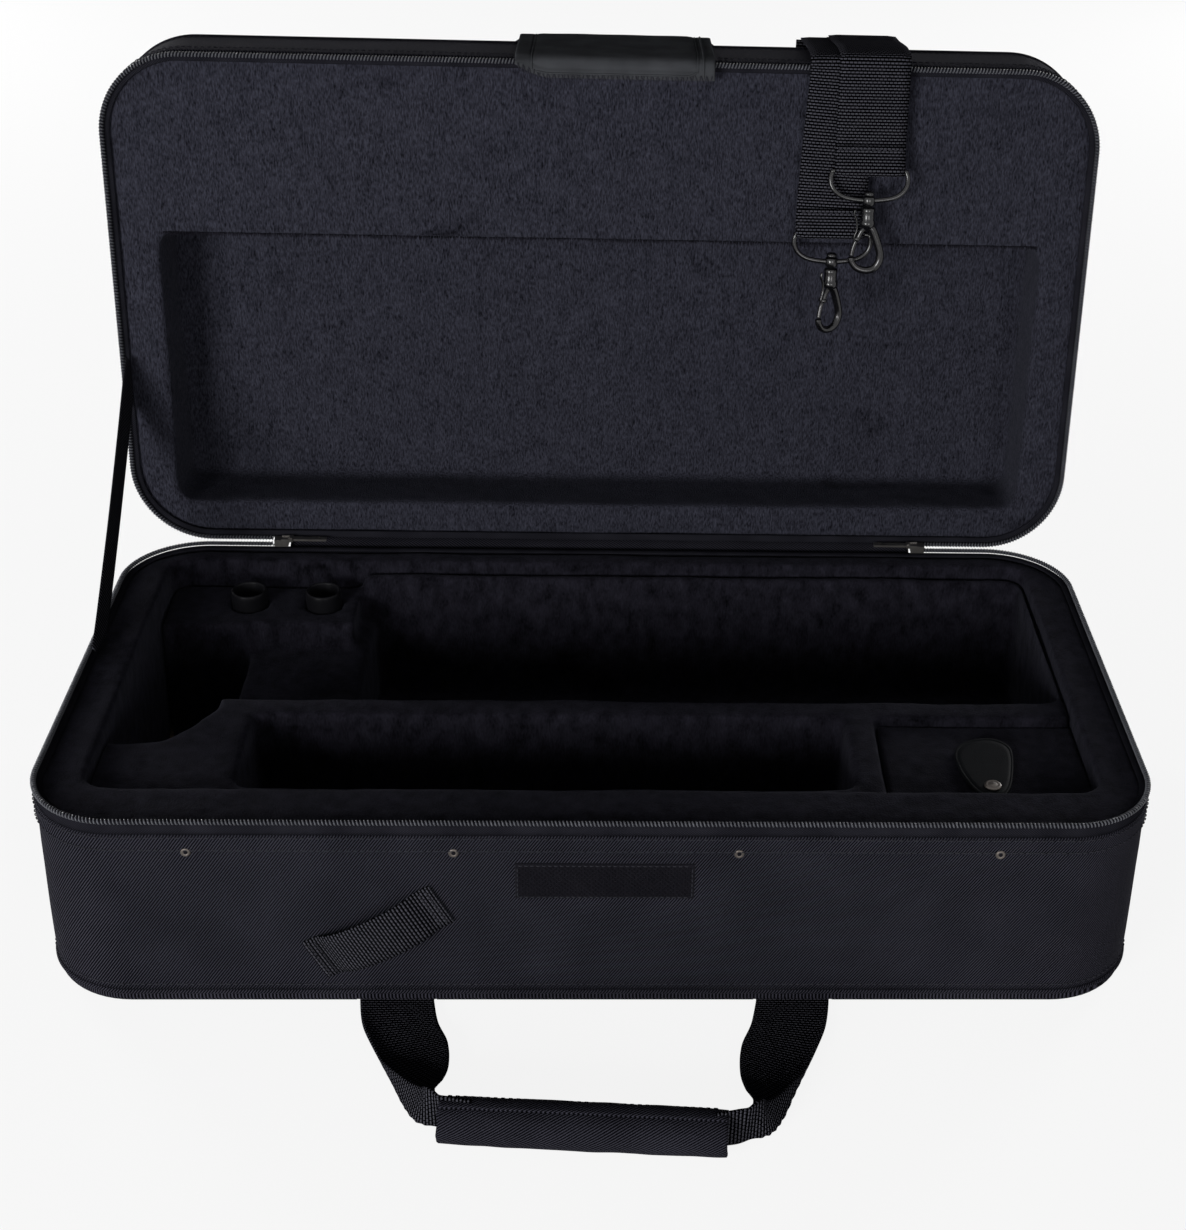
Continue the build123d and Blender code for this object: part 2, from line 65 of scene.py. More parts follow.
BASE = Matrix.Translation((0, 0, RIM_Z))
OPEN = Matrix.Translation(HINGE) @ Matrix.Rotation(-OPEN_ANGLE, 4, "X") @ Matrix.Translation(-HINGE)
LID = OPEN @ Matrix.Translation((0, 0, LID_RIM_Z)) @ Matrix.Rotation(pi, 4, "X")
LID_TRAY = LID @ Matrix.Diagonal((1, -1, 1, 1))     # a tray drawn with its hinge side at +Y
TRAYS = (("base", BASE, RIM_Z), ("lid", LID_TRAY, LID_DEPTH))


# ---- materials
def add(tree, kind, inputs=None, **props):
    """A shader node with its inputs set to values or linked to sockets."""
    made = tree.nodes.new("ShaderNode" + kind)
    for key, value in props.items():
        setattr(made, key, value)
    for key, value in (inputs or {}).items():
        if isinstance(value, bpy.types.NodeSocket):
            tree.links.new(value, made.inputs[key])
        else:
            made.inputs[key].default_value = value
    return made


def shader(name, roughness=0.6, metallic=0.0, sheen=0.0, gloss=0.5):
    """A new material, kept in MAT, as its node tree and surface shader."""
    MAT[name] = bpy.data.materials.new(name)
    MAT[name].use_nodes = True
    tree = MAT[name].node_tree
    surface = tree.nodes["Principled BSDF"]
    for key, value in (("Roughness", roughness), ("Metallic", metallic), ("Sheen Weight", sheen),
                       ("Sheen Roughness", 0.4), ("Specular IOR Level", gloss)):
        surface.inputs[key].default_value = value
    return tree, surface


def place(tree, scale=(1, 1, 1), source="Object", turn=(0, 0, 0)):
    spot = add(tree, "TexCoord").outputs[source]
    return add(tree, "Mapping", {"Vector": spot, "Scale": scale, "Rotation": turn}).outputs["Vector"]


def speckle(tree, vector, scale, detail=2.0):
    return add(tree, "TexNoise", {"Vector": vector, "Scale": scale, "Detail": detail}).outputs["Fac"]


def maths(tree, kind, *values):
    return add(tree, "Math", dict(enumerate(values)), operation=kind).outputs[0]


def colour(tree, surface, factor, dark, light, low=0.0, high=1.0):
    """Base colour from dark to light as factor goes from low to high."""
    ramp = add(tree, "ValToRGB", {"Fac": factor})
    for stop, tone, spot in zip(ramp.color_ramp.elements, (dark, light), (low, high)):
        stop.color = (*tone, 1)
        stop.position = spot
    tree.links.new(ramp.outputs["Color"], surface.inputs["Base Color"])


def bump(tree, surface, height, distance, strength=1.0):
    made = add(tree, "Bump", {"Height": height, "Distance": distance, "Strength": strength})
    tree.links.new(made.outputs["Normal"], surface.inputs["Normal"])


def twill(name="twill", source="Object", turn=radians(45)):
    """Heavy polyester twill: diagonal ribs, each made of short yarn floats.

    On the walls the pattern follows the UVs, with U up the wall and V along it, in metres."""
    rib_pitch = 0.00120
    tree, surface = shader(name, 0.7, gloss=0.01)
    spot = place(tree, source=source, turn=(0, 0, turn))
    rib = add(tree, "TexWave", {"Vector": spot, "Scale": WAVE / rib_pitch, "Distortion": 0.5, "Detail": 1.0,
                                "Detail Scale": 1.5}, bands_direction="X").outputs["Fac"]
    floats = speckle(tree, place(tree, (1.0, 0.35, 1.0), source, (0, 0, turn)), 2200.0, 1.0)
    weave = maths(tree, "MULTIPLY_ADD", floats, 0.7, rib)
    faded = maths(tree, "MULTIPLY_ADD", speckle(tree, place(tree), 30.0, 3.0), 0.4, weave)
    shade = maths(tree, "MULTIPLY", faded, 0.5)
    colour(tree, surface, shade, (0.0010, 0.0010, 0.0016), (0.058, 0.057, 0.076), 0.34, 0.94)
    bump(tree, surface, weave, 0.00042)


def plush(name, dark, light, clump, grain):
    """Short brushed pile: fine upright streaks with a few soft marks where the nap is pressed over."""
    tree, surface = shader(name, 1.0, sheen=0.05, gloss=0.03)
    surface.inputs["Sheen Roughness"].default_value = 0.5
    surface.inputs["Sheen Tint"].default_value = (0.50, 0.52, 0.66, 1)
    streak = speckle(tree, place(tree, (1.0, 1.0, 0.32)), 1250.0)
    tuft = speckle(tree, place(tree, (1.0, 1.0, 0.60)), 150.0, 4.0)
    marks = speckle(tree, place(tree, (0.8, 0.8, 1.7)), 17.0, 6.0)
    pressed = add(tree, "MapRange", {"Value": marks, "From Min": 0.62, "From Max": 0.78, "To Min": 1.0,
                                     "To Max": 0.45}, interpolation_type="SMOOTHSTEP").outputs["Result"]
    pile = maths(tree, "MULTIPLY_ADD", streak, grain, maths(tree, "MULTIPLY", tuft, clump))
    shade = maths(tree, "MULTIPLY", maths(tree, "MULTIPLY", pile, 0.54), pressed)
    colour(tree, surface, shade, dark, light, 0.28, 0.72)
    bump(tree, surface, pile, 0.00060)


def webbing():
    """Woven strap. The pattern follows the strap: U runs across it and V along it, in metres."""
    row_pitch = 0.0017
    tree, surface = shader("webbing", 0.8, gloss=0.0)
    cells = place(tree, source="UV")
    gaps = add(tree, "TexBrick", {"Vector": cells, "Scale": 1.0, "Mortar Size": 0.00034, "Mortar Smooth": 1.0,
                                  "Brick Width": 0.0022, "Row Height": row_pitch}, offset=0.5).outputs["Fac"]
    rows = add(tree, "TexWave", {"Vector": cells, "Scale": WAVE / row_pitch},
               bands_direction="Y").outputs["Fac"]
    height = maths(tree, "SUBTRACT", rows, gaps)
    shade = maths(tree, "MULTIPLY_ADD", speckle(tree, cells, 180.0, 3.0), 0.5, height)
    colour(tree, surface, shade, (0.0006, 0.0006, 0.0010), (0.063, 0.063, 0.076), 0.42)
    bump(tree, surface, height, 0.0006)


def fine_cloth(name, dark, light, pitch, sheen=0.0, roughness=0.6):
    """Plain tight weave for tape, thread, hook tape and the wrap of the lid handle."""
    tree, surface = shader(name, roughness, sheen=sheen, gloss=0.0)
    yarns = [add(tree, "TexWave", {"Vector": place(tree, scale), "Scale": 2 * WAVE / pitch},
                 bands_direction="DIAGONAL").outputs["Fac"] for scale in ((1, 1, 1), (1, -1, -1))]
    weave = maths(tree, "MULTIPLY", *yarns)
    shade = maths(tree, "MULTIPLY_ADD", speckle(tree, place(tree), 60.0, 4.0), 0.8, weave)
    colour(tree, surface, maths(tree, "MULTIPLY", shade, 0.6), dark, light)
    bump(tree, surface, weave, pitch * 0.3, 0.7)


def metal(name, dark, light, roughness, metallic=1.0, gloss=0.5):
    """Metal with faint handling marks and slightly uneven gloss."""
    tree, surface = shader(name, roughness, metallic, gloss=gloss)
    scratch = speckle(tree, place(tree, (1, 0.2, 1)), 900.0, 3.0)
    colour(tree, surface, speckle(tree, place(tree), 90.0, 4.0), dark, light)
    uneven = add(tree, "MapRange", {"Value": scratch, "To Min": roughness * 0.75, "To Max": roughness * 1.35})
    tree.links.new(uneven.outputs["Result"], surface.inputs["Roughness"])
    bump(tree, surface, scratch, 0.00002, 0.25)


def leather():
    tree, surface = shader("leather", 0.6, gloss=0.03)
    grain = add(tree, "TexVoronoi", {"Vector": place(tree), "Scale": 1300.0},
                feature="DISTANCE_TO_EDGE").outputs["Distance"]
    worn = speckle(tree, place(tree), 120.0, 5.0)
    colour(tree, surface, worn, (0.0040, 0.0044, 0.0052), (0.0095, 0.0103, 0.0118))
    bump(tree, surface, grain, 0.0002, 0.6)


def plastic(name, dark, light, roughness, gloss):
    tree, surface = shader(name, roughness, gloss=gloss)
    colour(tree, surface, speckle(tree, place(tree), 70.0, 3.0), dark, light)
    bump(tree, surface, speckle(tree, place(tree), 1500.0), 0.00006, 0.5)


def board():
    tree, surface = shader("board", 0.85)
    fibre = speckle(tree, place(tree, (0.3, 0.3, 1)), 400.0, 4.0)
    colour(tree, surface, fibre, (0.20, 0.14, 0.09), (0.42, 0.33, 0.23))
    bump(tree, surface, fibre, 0.0002, 0.5)


MAT = {}


def materials():
    twill()
    twill("wall_twill", "UV", radians(-55))
    plush("plush", (0.0035, 0.0034, 0.0052), (0.042, 0.043, 0.060), 0.35, 1.5)
    # A darker copy of the same plush, as painted shade: used for the base's linings, the small lid and the
    # pile along the lid's recess
    plush("base_plush", (0.0004, 0.0004, 0.0007), (0.0210, 0.0200, 0.0290), 1.1, 0.75)
    webbing()
    fine_cloth("tape", (0.0010, 0.0010, 0.0018), (0.034, 0.034, 0.044), 0.0013)
    fine_cloth("thread", (0.020, 0.020, 0.025), (0.062, 0.062, 0.074), 0.0006)
    fine_cloth("pad_cloth", (0.0080, 0.0087, 0.0100), (0.1170, 0.1220, 0.1340), 0.0009, 0.0, 0.8)
    fine_cloth("loop_cloth", (0.004, 0.004, 0.006), (0.018, 0.017, 0.022), 0.0008, 0.05, 0.9)
    plastic("coil", (0.050, 0.052, 0.060), (0.130, 0.134, 0.150), 0.3, 0.12)
    plastic("black_plastic", (0.0030, 0.0030, 0.0038), (0.0080, 0.0080, 0.0095), 0.42, 0.06)
    metal("black_metal", (0.0020, 0.0020, 0.0026), (0.0055, 0.0055, 0.0065), 0.20, 0.0, 0.45)
    metal("old_metal", (0.045, 0.038, 0.034), (0.130, 0.115, 0.105), 0.40, 0.8)
    metal("bright_metal", (0.11, 0.105, 0.10), (0.24, 0.23, 0.22), 0.34)
    leather()
    board()


# ---- mesh helpers
def put(name, data):
    obj = bpy.data.objects.new(name, data)
    bpy.context.scene.collection.objects.link(obj)
    return obj


def dress(obj, mat, body, nodes, smooth=True):
    """Give a piece its material and slot, its body and the nodes that it stands for."""
    mesh = obj.data
    mesh.polygons.foreach_set("use_smooth", [smooth] * len(mesh.polygons))
    mesh.materials.clear()
    mesh.materials.append(MAT[mat])
    if body:
        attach(obj, body)
    if nodes:
        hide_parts(*nodes)
    return obj


def piece(name, verts, faces, mat, body=None, nodes=(), matrix=None, uvs=None, smooth=True):
    """A mesh object in the case frame. uvs holds one pair per vertex."""
    mesh = bpy.data.meshes.new(name)
    mesh.from_pydata([tuple(v) for v in verts], [], faces)
    if uvs:
        layer = mesh.uv_layers.new(name="UVMap")
        for loop in mesh.loops:
            layer.data[loop.index].uv = uvs[loop.vertex_index]
    if matrix is not None:
        mesh.transform(matrix)
    fix = bmesh.new()
    fix.from_mesh(mesh)
    bmesh.ops.recalc_face_normals(fix, faces=fix.faces)
    fix.to_mesh(mesh)
    fix.free()
    return dress(put(name, mesh), mat, body, nodes, smooth)


def use_modifier(obj, kind, **values):
    made = obj.modifiers.new(kind.lower(), kind)
    for key, value in values.items():
        setattr(made, key, value)
    bpy.context.view_layer.objects.active = obj
    with bpy.context.temp_override(object=obj, active_object=obj, selected_objects=[obj]):
        bpy.ops.object.modifier_apply(modifier=made.name)


def gather(parts):
    """Several (verts, faces) lists as one."""
    verts, faces = [], []
    for v, f in parts:
        start = len(verts)
        verts += [Vector(p) for p in v]
        faces += [[i + start for i in face] for face in f]
    return verts, faces


def mm(*points):
    """Points written in millimetres, as metres."""
    return [tuple(value / 1000 for value in point) for point in points]


def at(spot, angle=0.0, axis="X"):
    """Turned about an axis and put in its place."""
    return Matrix.Translation(spot) @ Matrix.Rotation(angle, 4, axis)


def wobble(x, y, z):
    """Smooth noise from -1 to 1."""
    return noise.noise(Vector((x, y, z)))


def moved(part, matrix):
    return [matrix @ Vector(v) for v in part[0]], part[1]


def grid_faces(rows, columns, close_rows=False, close_columns=False):
    faces = []
    for i in range(rows if close_rows else rows - 1):
        for j in range(columns if close_columns else columns - 1):
            k, m = (i + 1) % rows, (j + 1) % columns
            faces.append([i * columns + j, i * columns + m, k * columns + m, k * columns + j])
    return faces


def end_faces(count, columns):
    """The two closing faces of a tube of rows, each row with this many columns."""
    return [list(range(columns))[::-1], list(range(count - columns, count))]


def smooth_line(points, steps):
    """Catmull-Rom points through the given ones. A point may carry any number of values."""
    keys = [points[0]] + list(points) + [points[-1]]
    made = []
    for i in range(1, len(keys) - 2):
        for step in range(steps):
            t = step / steps
            made.append([0.5 * (2 * b + (c - a) * t + (2 * a - 5 * b + 4 * c - d) * t * t
                                + (3 * b - a - 3 * c + d) * t ** 3)
                         for a, b, c, d in zip(keys[i - 1], keys[i], keys[i + 1], keys[i + 2])])
    made.append(list(points[-1]))
    return made


def tube(path, radius, sides=8, closed=False, flat=1.0, side=None):
    """Round or oval bar along a path. radius is one value or one per point."""
    path = [Vector(p) for p in path]
    count = len(path)
    radii = radius if isinstance(radius, list) else [radius] * count
    verts = []
    cross = Vector(side) if side else None
    for i, point in enumerate(path):
        ahead = path[(i + 1) % count] if closed or i < count - 1 else point
        behind = path[i - 1] if closed or i > 0 else point
        along = (ahead - behind).normalized()
        if cross is None:
            cross = along.orthogonal()
        cross = (cross - along * cross.dot(along)).normalized()
        other = along.cross(cross)
        for j in range(sides):
            a = 2 * pi * j / sides
            verts.append(point + radii[i] * (cos(a) * cross + sin(a) * flat * other))
    faces = grid_faces(count, sides, closed, True)
    return verts, faces if closed else faces + end_faces(len(verts), sides)


def lathe(profile, segments=24):
    """Closed turned body about Y from (radius, y) pairs."""
    verts = []
    for radius, y in profile:
        for j in range(segments):
            a = 2 * pi * j / segments
            verts.append(Vector((radius * cos(a), y, radius * sin(a))))
    return verts, grid_faces(len(profile), segments, False, True) + end_faces(len(verts), segments)


def perimeter(inset, step, gap=False):
    """Points round the case outline as (x, y, nx, ny, run), hinge side at +Y.

    With gap, the back stays open between the zipper's ends."""
    radius = CORNER_R - inset
    half_x, half_y = CASE_W / 2 - CORNER_R, CASE_D / 2 - CORNER_R
    start = COIL_END_X if gap else 0.0
    outline = [(start, half_y + radius, 0, 1)]

    def run_to(x, y, nx, ny):
        px, py = outline[-1][:2]
        count = max(1, round(sqrt((x - px) ** 2 + (y - py) ** 2) / step))
        for i in range(1, count + 1):
            outline.append((px + (x - px) * i / count, py + (y - py) * i / count, nx, ny))

    corners = [(half_x, half_y, 90), (half_x, -half_y, 0), (-half_x, -half_y, -90), (-half_x, half_y, -180)]
    for cx, cy, angle in corners:
        first = radians(angle)
        run_to(cx + radius * cos(first), cy + radius * sin(first), cos(first), sin(first))
        count = ceil(radius * pi / 2 / step)
        for i in range(1, count + 1):
            a = radians(angle - 90 * i / count)
            outline.append((cx + radius * cos(a), cy + radius * sin(a), cos(a), sin(a)))
    run_to(-start, half_y + radius, 0, 1)
    if not gap:
        outline.pop()
    made, run = [], 0.0
    for i, (x, y, nx, ny) in enumerate(outline):
        if i:
            run += sqrt((x - outline[i - 1][0]) ** 2 + (y - outline[i - 1][1]) ** 2)
        made.append((x, y, nx, ny, run))
    return made


def ring_band(profile, step, gap=False, wave=0.0):
    """A closed profile of (inset, height) pairs carried round the case outline, as verts, faces and UVs."""
    outline = perimeter(0.0, step, gap)
    verts, uvs = [], []
    for x, y, nx, ny, run in outline:
        for j, (inset, z) in enumerate(profile):
            pull = inset + wave * wobble(x * 14, y * 14, z * 25)
            verts.append(Vector((x - nx * pull, y - ny * pull, z)))
            uvs.append((z, run))
    faces = grid_faces(len(outline), len(profile), not gap, True)
    return verts, faces + end_faces(len(verts), len(profile)) if gap else faces, uvs


def stitches(name, spots, body, matrix=None, length=0.0026, radius=0.00032):
    """Small thread humps. Each spot is (middle, direction, outward)."""
    parts = []
    for middle, along, out in spots:
        path = [middle - along * length / 2 - out * radius, middle - along * length / 4 + out * radius * 0.6,
                middle + along * length / 4 + out * radius * 0.6, middle + along * length / 2 - out * radius]
        parts.append(tube(path, [radius * 0.6, radius, radius, radius * 0.6], 5, side=out))
    piece(name, *gather(parts), "thread", body, matrix=matrix)


def row_on_wall(inset, height, pitch=0.0034):
    """Stitch spots round the case wall."""
    return [(Vector((x, y, height)), Vector((ny, -nx, 0)), Vector((nx, ny, 0)))
            for x, y, nx, ny, _ in perimeter(inset, pitch)]


def row_between(start, end, out, pitch=0.0034):
    """Stitch spots on a straight line."""
    start, end = Vector(start), Vector(end)
    along = (end - start).normalized()
    count = int((end - start).length / pitch)
    return [(start + along * pitch * (i + 0.5), along, Vector(out)) for i in range(count)]


def ribbon(name, keys, width, thickness, steps, body, nodes, matrix=None):
    """Webbing strap along keys of (x, y, z, side x, side y, side z, width share)."""
    across = 8
    line = smooth_line(keys, steps)
    shares = [2 * j / across - 1 for j in range(across + 1)]
    verts, uvs, run = [], [], 0.0
    for i, values in enumerate(line):
        point = Vector(values[0:3])
        side = Vector(values[3:6]).normalized()
        ahead = Vector(line[min(i + 1, len(line) - 1)][0:3])
        behind = Vector(line[max(i - 1, 0)][0:3])
        along = (ahead - behind).normalized()
        side = (side - along * side.dot(along)).normalized()
        up = side.cross(along)
        if i:
            run += (point - Vector(line[i - 1][0:3])).length
        for face in (1, -1):
            for share in shares[::face]:
                thin = 0.35 if abs(share) > 0.999 else 1.0
                spread = share * width * values[6] / 2
                verts.append(point + side * spread + up * (face * thickness / 2 * thin))
                uvs.append((share * width / 2, run))
    columns = 2 * (across + 1)
    faces = grid_faces(len(line), columns, False, True) + end_faces(len(verts), columns)
    return piece(name, verts, faces, "webbing", body, nodes, matrix, uvs)


def flat_key(point, side, share=1.0):
    return [*point, *side, share]


def lift(grid, i, j):
    """Unit vector square to a grid of points."""
    row = grid[i]
    tangent = row[min(j + 1, len(row) - 1)] - row[max(j - 1, 0)]
    along = grid[min(i + 1, len(grid) - 1)][j] - grid[max(i - 1, 0)][j]
    return tangent.cross(along).normalized()


def skin(grid, half):
    """Closed skin on both sides of a grid of points. half is a number, or a function of row and column."""
    verts = []
    for i, row in enumerate(grid):
        pushes = [lift(grid, i, j) * (half(i, j) if callable(half) else half) for j in range(len(row))]
        verts += [point + push for point, push in zip(row, pushes)]
        verts += [point - push for point, push in reversed(list(zip(row, pushes)))]
    columns = 2 * len(grid[0])
    return verts, grid_faces(len(grid), columns, False, True) + end_faces(len(verts), columns)


def cloth(name, grid, width, half, body, nodes, matrix=None, mat="webbing"):
    """A strap or strip of cloth on a grid of points. Its weave follows it, U across and V along."""
    verts, faces = skin(grid, half)
    count = len(grid[0])
    shares = [(j / (count - 1) - 0.5) * width for j in range(count)]
    uvs, run = [], 0.0
    for i, row in enumerate(grid):
        if i:
            run += (row[count // 2] - grid[i - 1][count // 2]).length
        uvs += [(share, run) for share in shares + shares[::-1]]
    return piece(name, verts, faces, mat, body, nodes, matrix, uvs)


# ---- plush pieces
def soft_copy(node, name, voxel, rounds, body, mat="base_plush", sag=0.0009):
    """The node's shape with rounded, slightly uneven foam edges under the plush."""
    obj = put(name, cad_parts[node].data.copy())
    use_modifier(obj, "REMESH", mode="VOXEL", voxel_size=voxel, adaptivity=0.0)
    use_modifier(obj, "SMOOTH", factor=0.5, iterations=rounds)
    mesh = obj.data
    for vert, normal in zip(mesh.vertices, [Vector(n.vector) for n in mesh.vertex_normals]):
        broad = noise.noise(vert.co * 22.0)
        small = noise.noise(vert.co * 110.0)
        vert.co += normal * (sag * (broad - 0.6) + sag * 0.35 * small)
    dress(obj, mat, body, [node])


def linings():
    soft_copy("lid_lining", "lid_plush", 0.0022, 7, "lid", "plush")
    # The lid's lining has the plush; the base's linings and the small lid take its darker copy, which is
    # painted shade
    soft_copy("base_rim_padding", "rim_plush", 0.0022, 7, "base")
    soft_copy("base_insert", "insert_plush", 0.0022, 14, "base")
    soft_copy("small_lid", "small_lid_plush", 0.0014, 5, "small_lid", sag=0.0004)


# ---- shell: twill walls, bands, zipper
def wall_profile(low, high, band_low):
    """Wall cloth with the folded band along its top, outside first, as (inset, height) pairs."""
    face, inner, fold = 0.0015, 0.0034, 0.0007
    steps = 6
    outside = [(face - 0.0001, low), (face - 0.0003, low + 0.004)]
    outside += [(face - 0.0003, low + 0.004 + (band_low - low - 0.006) * i / steps) for i in range(1, steps)]
    outside += [(face, band_low - 0.0006), (face - 0.0001, band_low), (fold, band_low + 0.0003),
                (fold - 0.0001, band_low + 0.0012), (fold - 0.0001, high - 0.0012),
                (fold + 0.0001, high - 0.0002), (face, high)]
    return outside + [(inner, high), (inner, low)]


def walls():
    for word, matrix, depth in TRAYS:
        profile = wall_profile(-depth + 0.0089, -0.0055, -0.0150)
        verts, faces, uvs = ring_band(profile, 0.004, wave=0.0004)
        piece(word + "_twill_wall", verts, faces, "wall_twill", word, [word + "_cover"], matrix, uvs)
        rows = row_on_wall(0.0005, -0.0068) + row_on_wall(0.0005, -0.0138)
        rows += row_on_wall(0.0012, -depth + 0.0125)
        stitches(word + "_wall_stitches", rows, word, matrix)


def zippers():
    """Zipper tape with its core, and the coil wound round the core tooth by tooth."""
    for word, matrix, _ in TRAYS:
        # the tape stands up from the band and turns flat under the coil
        profile = mm((1.4, -5.6), (1.3, -3), (1.4, -0.4), (1.9, 0), (5.2, -0.3), (5.5, -0.8), (5.2, -1.2),
                     (2.8, -1), (2.6, -5.2))
        path = perimeter(0.0015, TOOTH_PITCH / 8, gap=True)
        core = tube([(x, y, 0.0014) for x, y, *_ in path[::16]], 0.00100, 8)
        verts, faces, _ = ring_band(profile, 0.004)
        piece(word + "_tape", *gather([(verts, faces), core]), "tape", word, [word + "_zip_tape"], matrix)
        line = []
        for x, y, nx, ny, run in path:
            a = 2 * pi * run / TOOTH_PITCH
            out = 0.00110 * cos(a)
            line.append((x + nx * out, y + ny * out, 0.0015 + 0.00105 * sin(a)))
        piece(word + "_coil", *tube(line, 0.00040, 5), "coil", word, [word + "_zip_coil"], matrix)


# ---- shoulder strap and snap hooks
STRAPS = (  # word, middle x, end y, height over the lid's rim, ring's tilt, hook's turn, flat length
    ("left", 0.1255, 0.0495, 0.0034, 0.0, 40.0, 0.178),
    ("right", 0.1435, 0.0850, 0.0051, 15.0, 0.0, 0.145),
)


def ring_frame(x, end, w, tilt):
    """Place of the strap's ring, drawn with its bar on X and its loop towards -Y."""
    return at((x, end - BAR_IN, w + BAR_UP), -radians(tilt))


def hook_frame(x, end, w, tilt, turn):
    """Place of the snap hook, at the lowest point of its ring."""
    tilt = radians(tilt)
    spot = (x, end - BAR_IN - RING_LOW * cos(tilt), w + BAR_UP + RING_LOW * sin(tilt))
    return at(spot, radians(turn), "Y")


def front_straps():
    """The strap's two ends, over the lid's edge and down its lining, each folded round a ring's bar."""
    for i, (word, x, end, w, _, _, length) in enumerate(STRAPS):
        top = CASE_D / 2 + 0.0027 + 0.0017 * i
        lean = 0.0025 * (1 - i)
        mid = w + 0.0007
        bar_v, bar_w = end - BAR_IN, w + BAR_UP
        line = [(top, -0.0636, lean), (top + 0.0006, -0.046, lean), (top + 0.0022, -0.026, lean),
                (top + 0.0030, -0.010, lean), (top + 0.0012, mid - 0.0012, lean),
                (top - 0.0060, mid + 0.0009, lean), (top - 0.0200, mid + 0.0004, lean * 0.7),
                ((top + end) / 2, mid + 0.0005, 0), (end + 0.012, mid, -lean * 0.6),
                (bar_v + 0.0012, bar_w - 0.0020, -lean * 0.6), (bar_v - 0.0020, bar_w, -lean * 0.6),
                (bar_v + 0.0008, bar_w + 0.0020, -lean * 0.6), (end + 0.0070, bar_w + 0.0004, -lean * 0.6),
                (end + 0.0135, bar_w - 0.0004, -lean * 0.6)]
        keys = [flat_key((x + shift, v, level), (1, 0, 0)) for v, level, shift in line]
        strap = ribbon("shoulder_strap_" + word, keys, STRAP_W, STRAP_T, 8, "lid", ["strap_" + word], LID)
        seam_v, seam_w = end + 0.0115, bar_w + 0.0005
        seam = row_between((x - 0.018, seam_v, seam_w), (x + 0.018, seam_v, seam_w), (0, 0, 1), 0.0030)
        stitches("strap_seam_" + word, seam, "lid", LID)


def wire_rings():
    """Oval wire rings, each with the collar that the hook turns in."""
    half = mm((0, 0), (18.5, 0), (20.2, -0.8), (21, -3), (20.8, -6.8), (18.8, -10.5), (14.8, -13.4),
              (9, -14.9), (0, -1000 * RING_LOW))
    outline = half + [(-x, y) for x, y in half[-2:0:-1]]
    path = smooth_line([(x, y, 0.0) for x, y in outline + [outline[0]]], 5)[:-1]
    collar = lathe(mm((1.7, 2.4), (3, 2.4), (3.5, 1.8), (3.5, -1.8), (3, -2.4), (1.7, -2.4)), 20)
    for word, x, end, w, tilt, _, _ in STRAPS:
        upright = at((0, -RING_LOW, 0), radians(tilt))
        parts = gather([tube(path, 0.00135, 10, closed=True, side=(0, 0, 1)), moved(collar, upright)])
        node = "ring_" + word
        piece("wire_ring_" + word, *parts, "black_metal", node, [node], LID @ ring_frame(x, end, w, tilt))


def bent_bar(points, radius, steps, sides=10, flat=1.0):
    """Bar along a smooth line through (x, y) points. It tapers where radius is a pair."""
    line = smooth_line([(x, y, 0) for x, y in points], steps)
    if isinstance(radius, tuple):
        radius = [radius[0] + (radius[1] - radius[0]) * i / len(line) for i in range(len(line))]
    return tube(line, radius, sides, flat=flat, side=(0, 0, 1))


def snap_hooks():
    """Snap hooks and their spring gates, drawn hanging from the ring's lowest point."""
    head = lathe(mm((0.4, 5.2), (2, 5), (2.8, 4.3), (2.9, 3.4), (2.4, 2.9), (1.4, 2.8), (1.4, -3.6),
                    (3.3, -3.8), (3.8, -4.6), (3.6, -5.8), (3.6, -10.4), (4.1, -11.2), (4.3, -12.4),
                    (3.9, -13.8), (3, -15), (1.2, -15.8)))
    nose = mm((-1.4, -13.8), (2.2, -15.2), (4.2, -18.8), (6.4, -24.4), (7.9, -29.6), (7.6, -33.8),
              (5, -37.6), (0.6, -39), (-4.4, -37.7), (-7.3, -34.6), (-7.9, -31.8))
    stub = mm((0.4, -14.2), (-2.6, -16.4), (-4.2, -19.6), (-5, -21.6))
    gate = mm((-7.8, -30.9), (-7.2, -27.2), (-6.2, -23.6), (-5.6, -22.6))
    thumb = mm((-6, -24), (-6.8, -20.5), (-5.6, -16), (-6, -11), (-7.4, -7.5), (-7, -5.2))
    rivet = lathe(mm((0.3, 2.2), (1.2, 2.1), (1.3, 0), (1.2, -2.1), (0.3, -2.2)), 12)
    rivet = moved(rivet, at((-0.0053, -0.0212, 0), pi / 2))
    body = gather([head, bent_bar(nose, (0.0025, 0.0018), 5), bent_bar(stub, 0.0014, 4), rivet])
    lever = gather([bent_bar(gate, 0.00125, 4), bent_bar(thumb, 0.0008, 4, 8, 0.7)])
    for word, x, end, w, tilt, turn, _ in STRAPS:
        matrix = LID @ hook_frame(x, end, w, tilt, turn)
        piece("snap_hook_" + word, *body, "black_metal", "hook_" + word, ["hook_" + word], matrix)
        piece("hook_gate_" + word, *lever, "black_metal", "gate_" + word, ["gate_" + word], matrix)


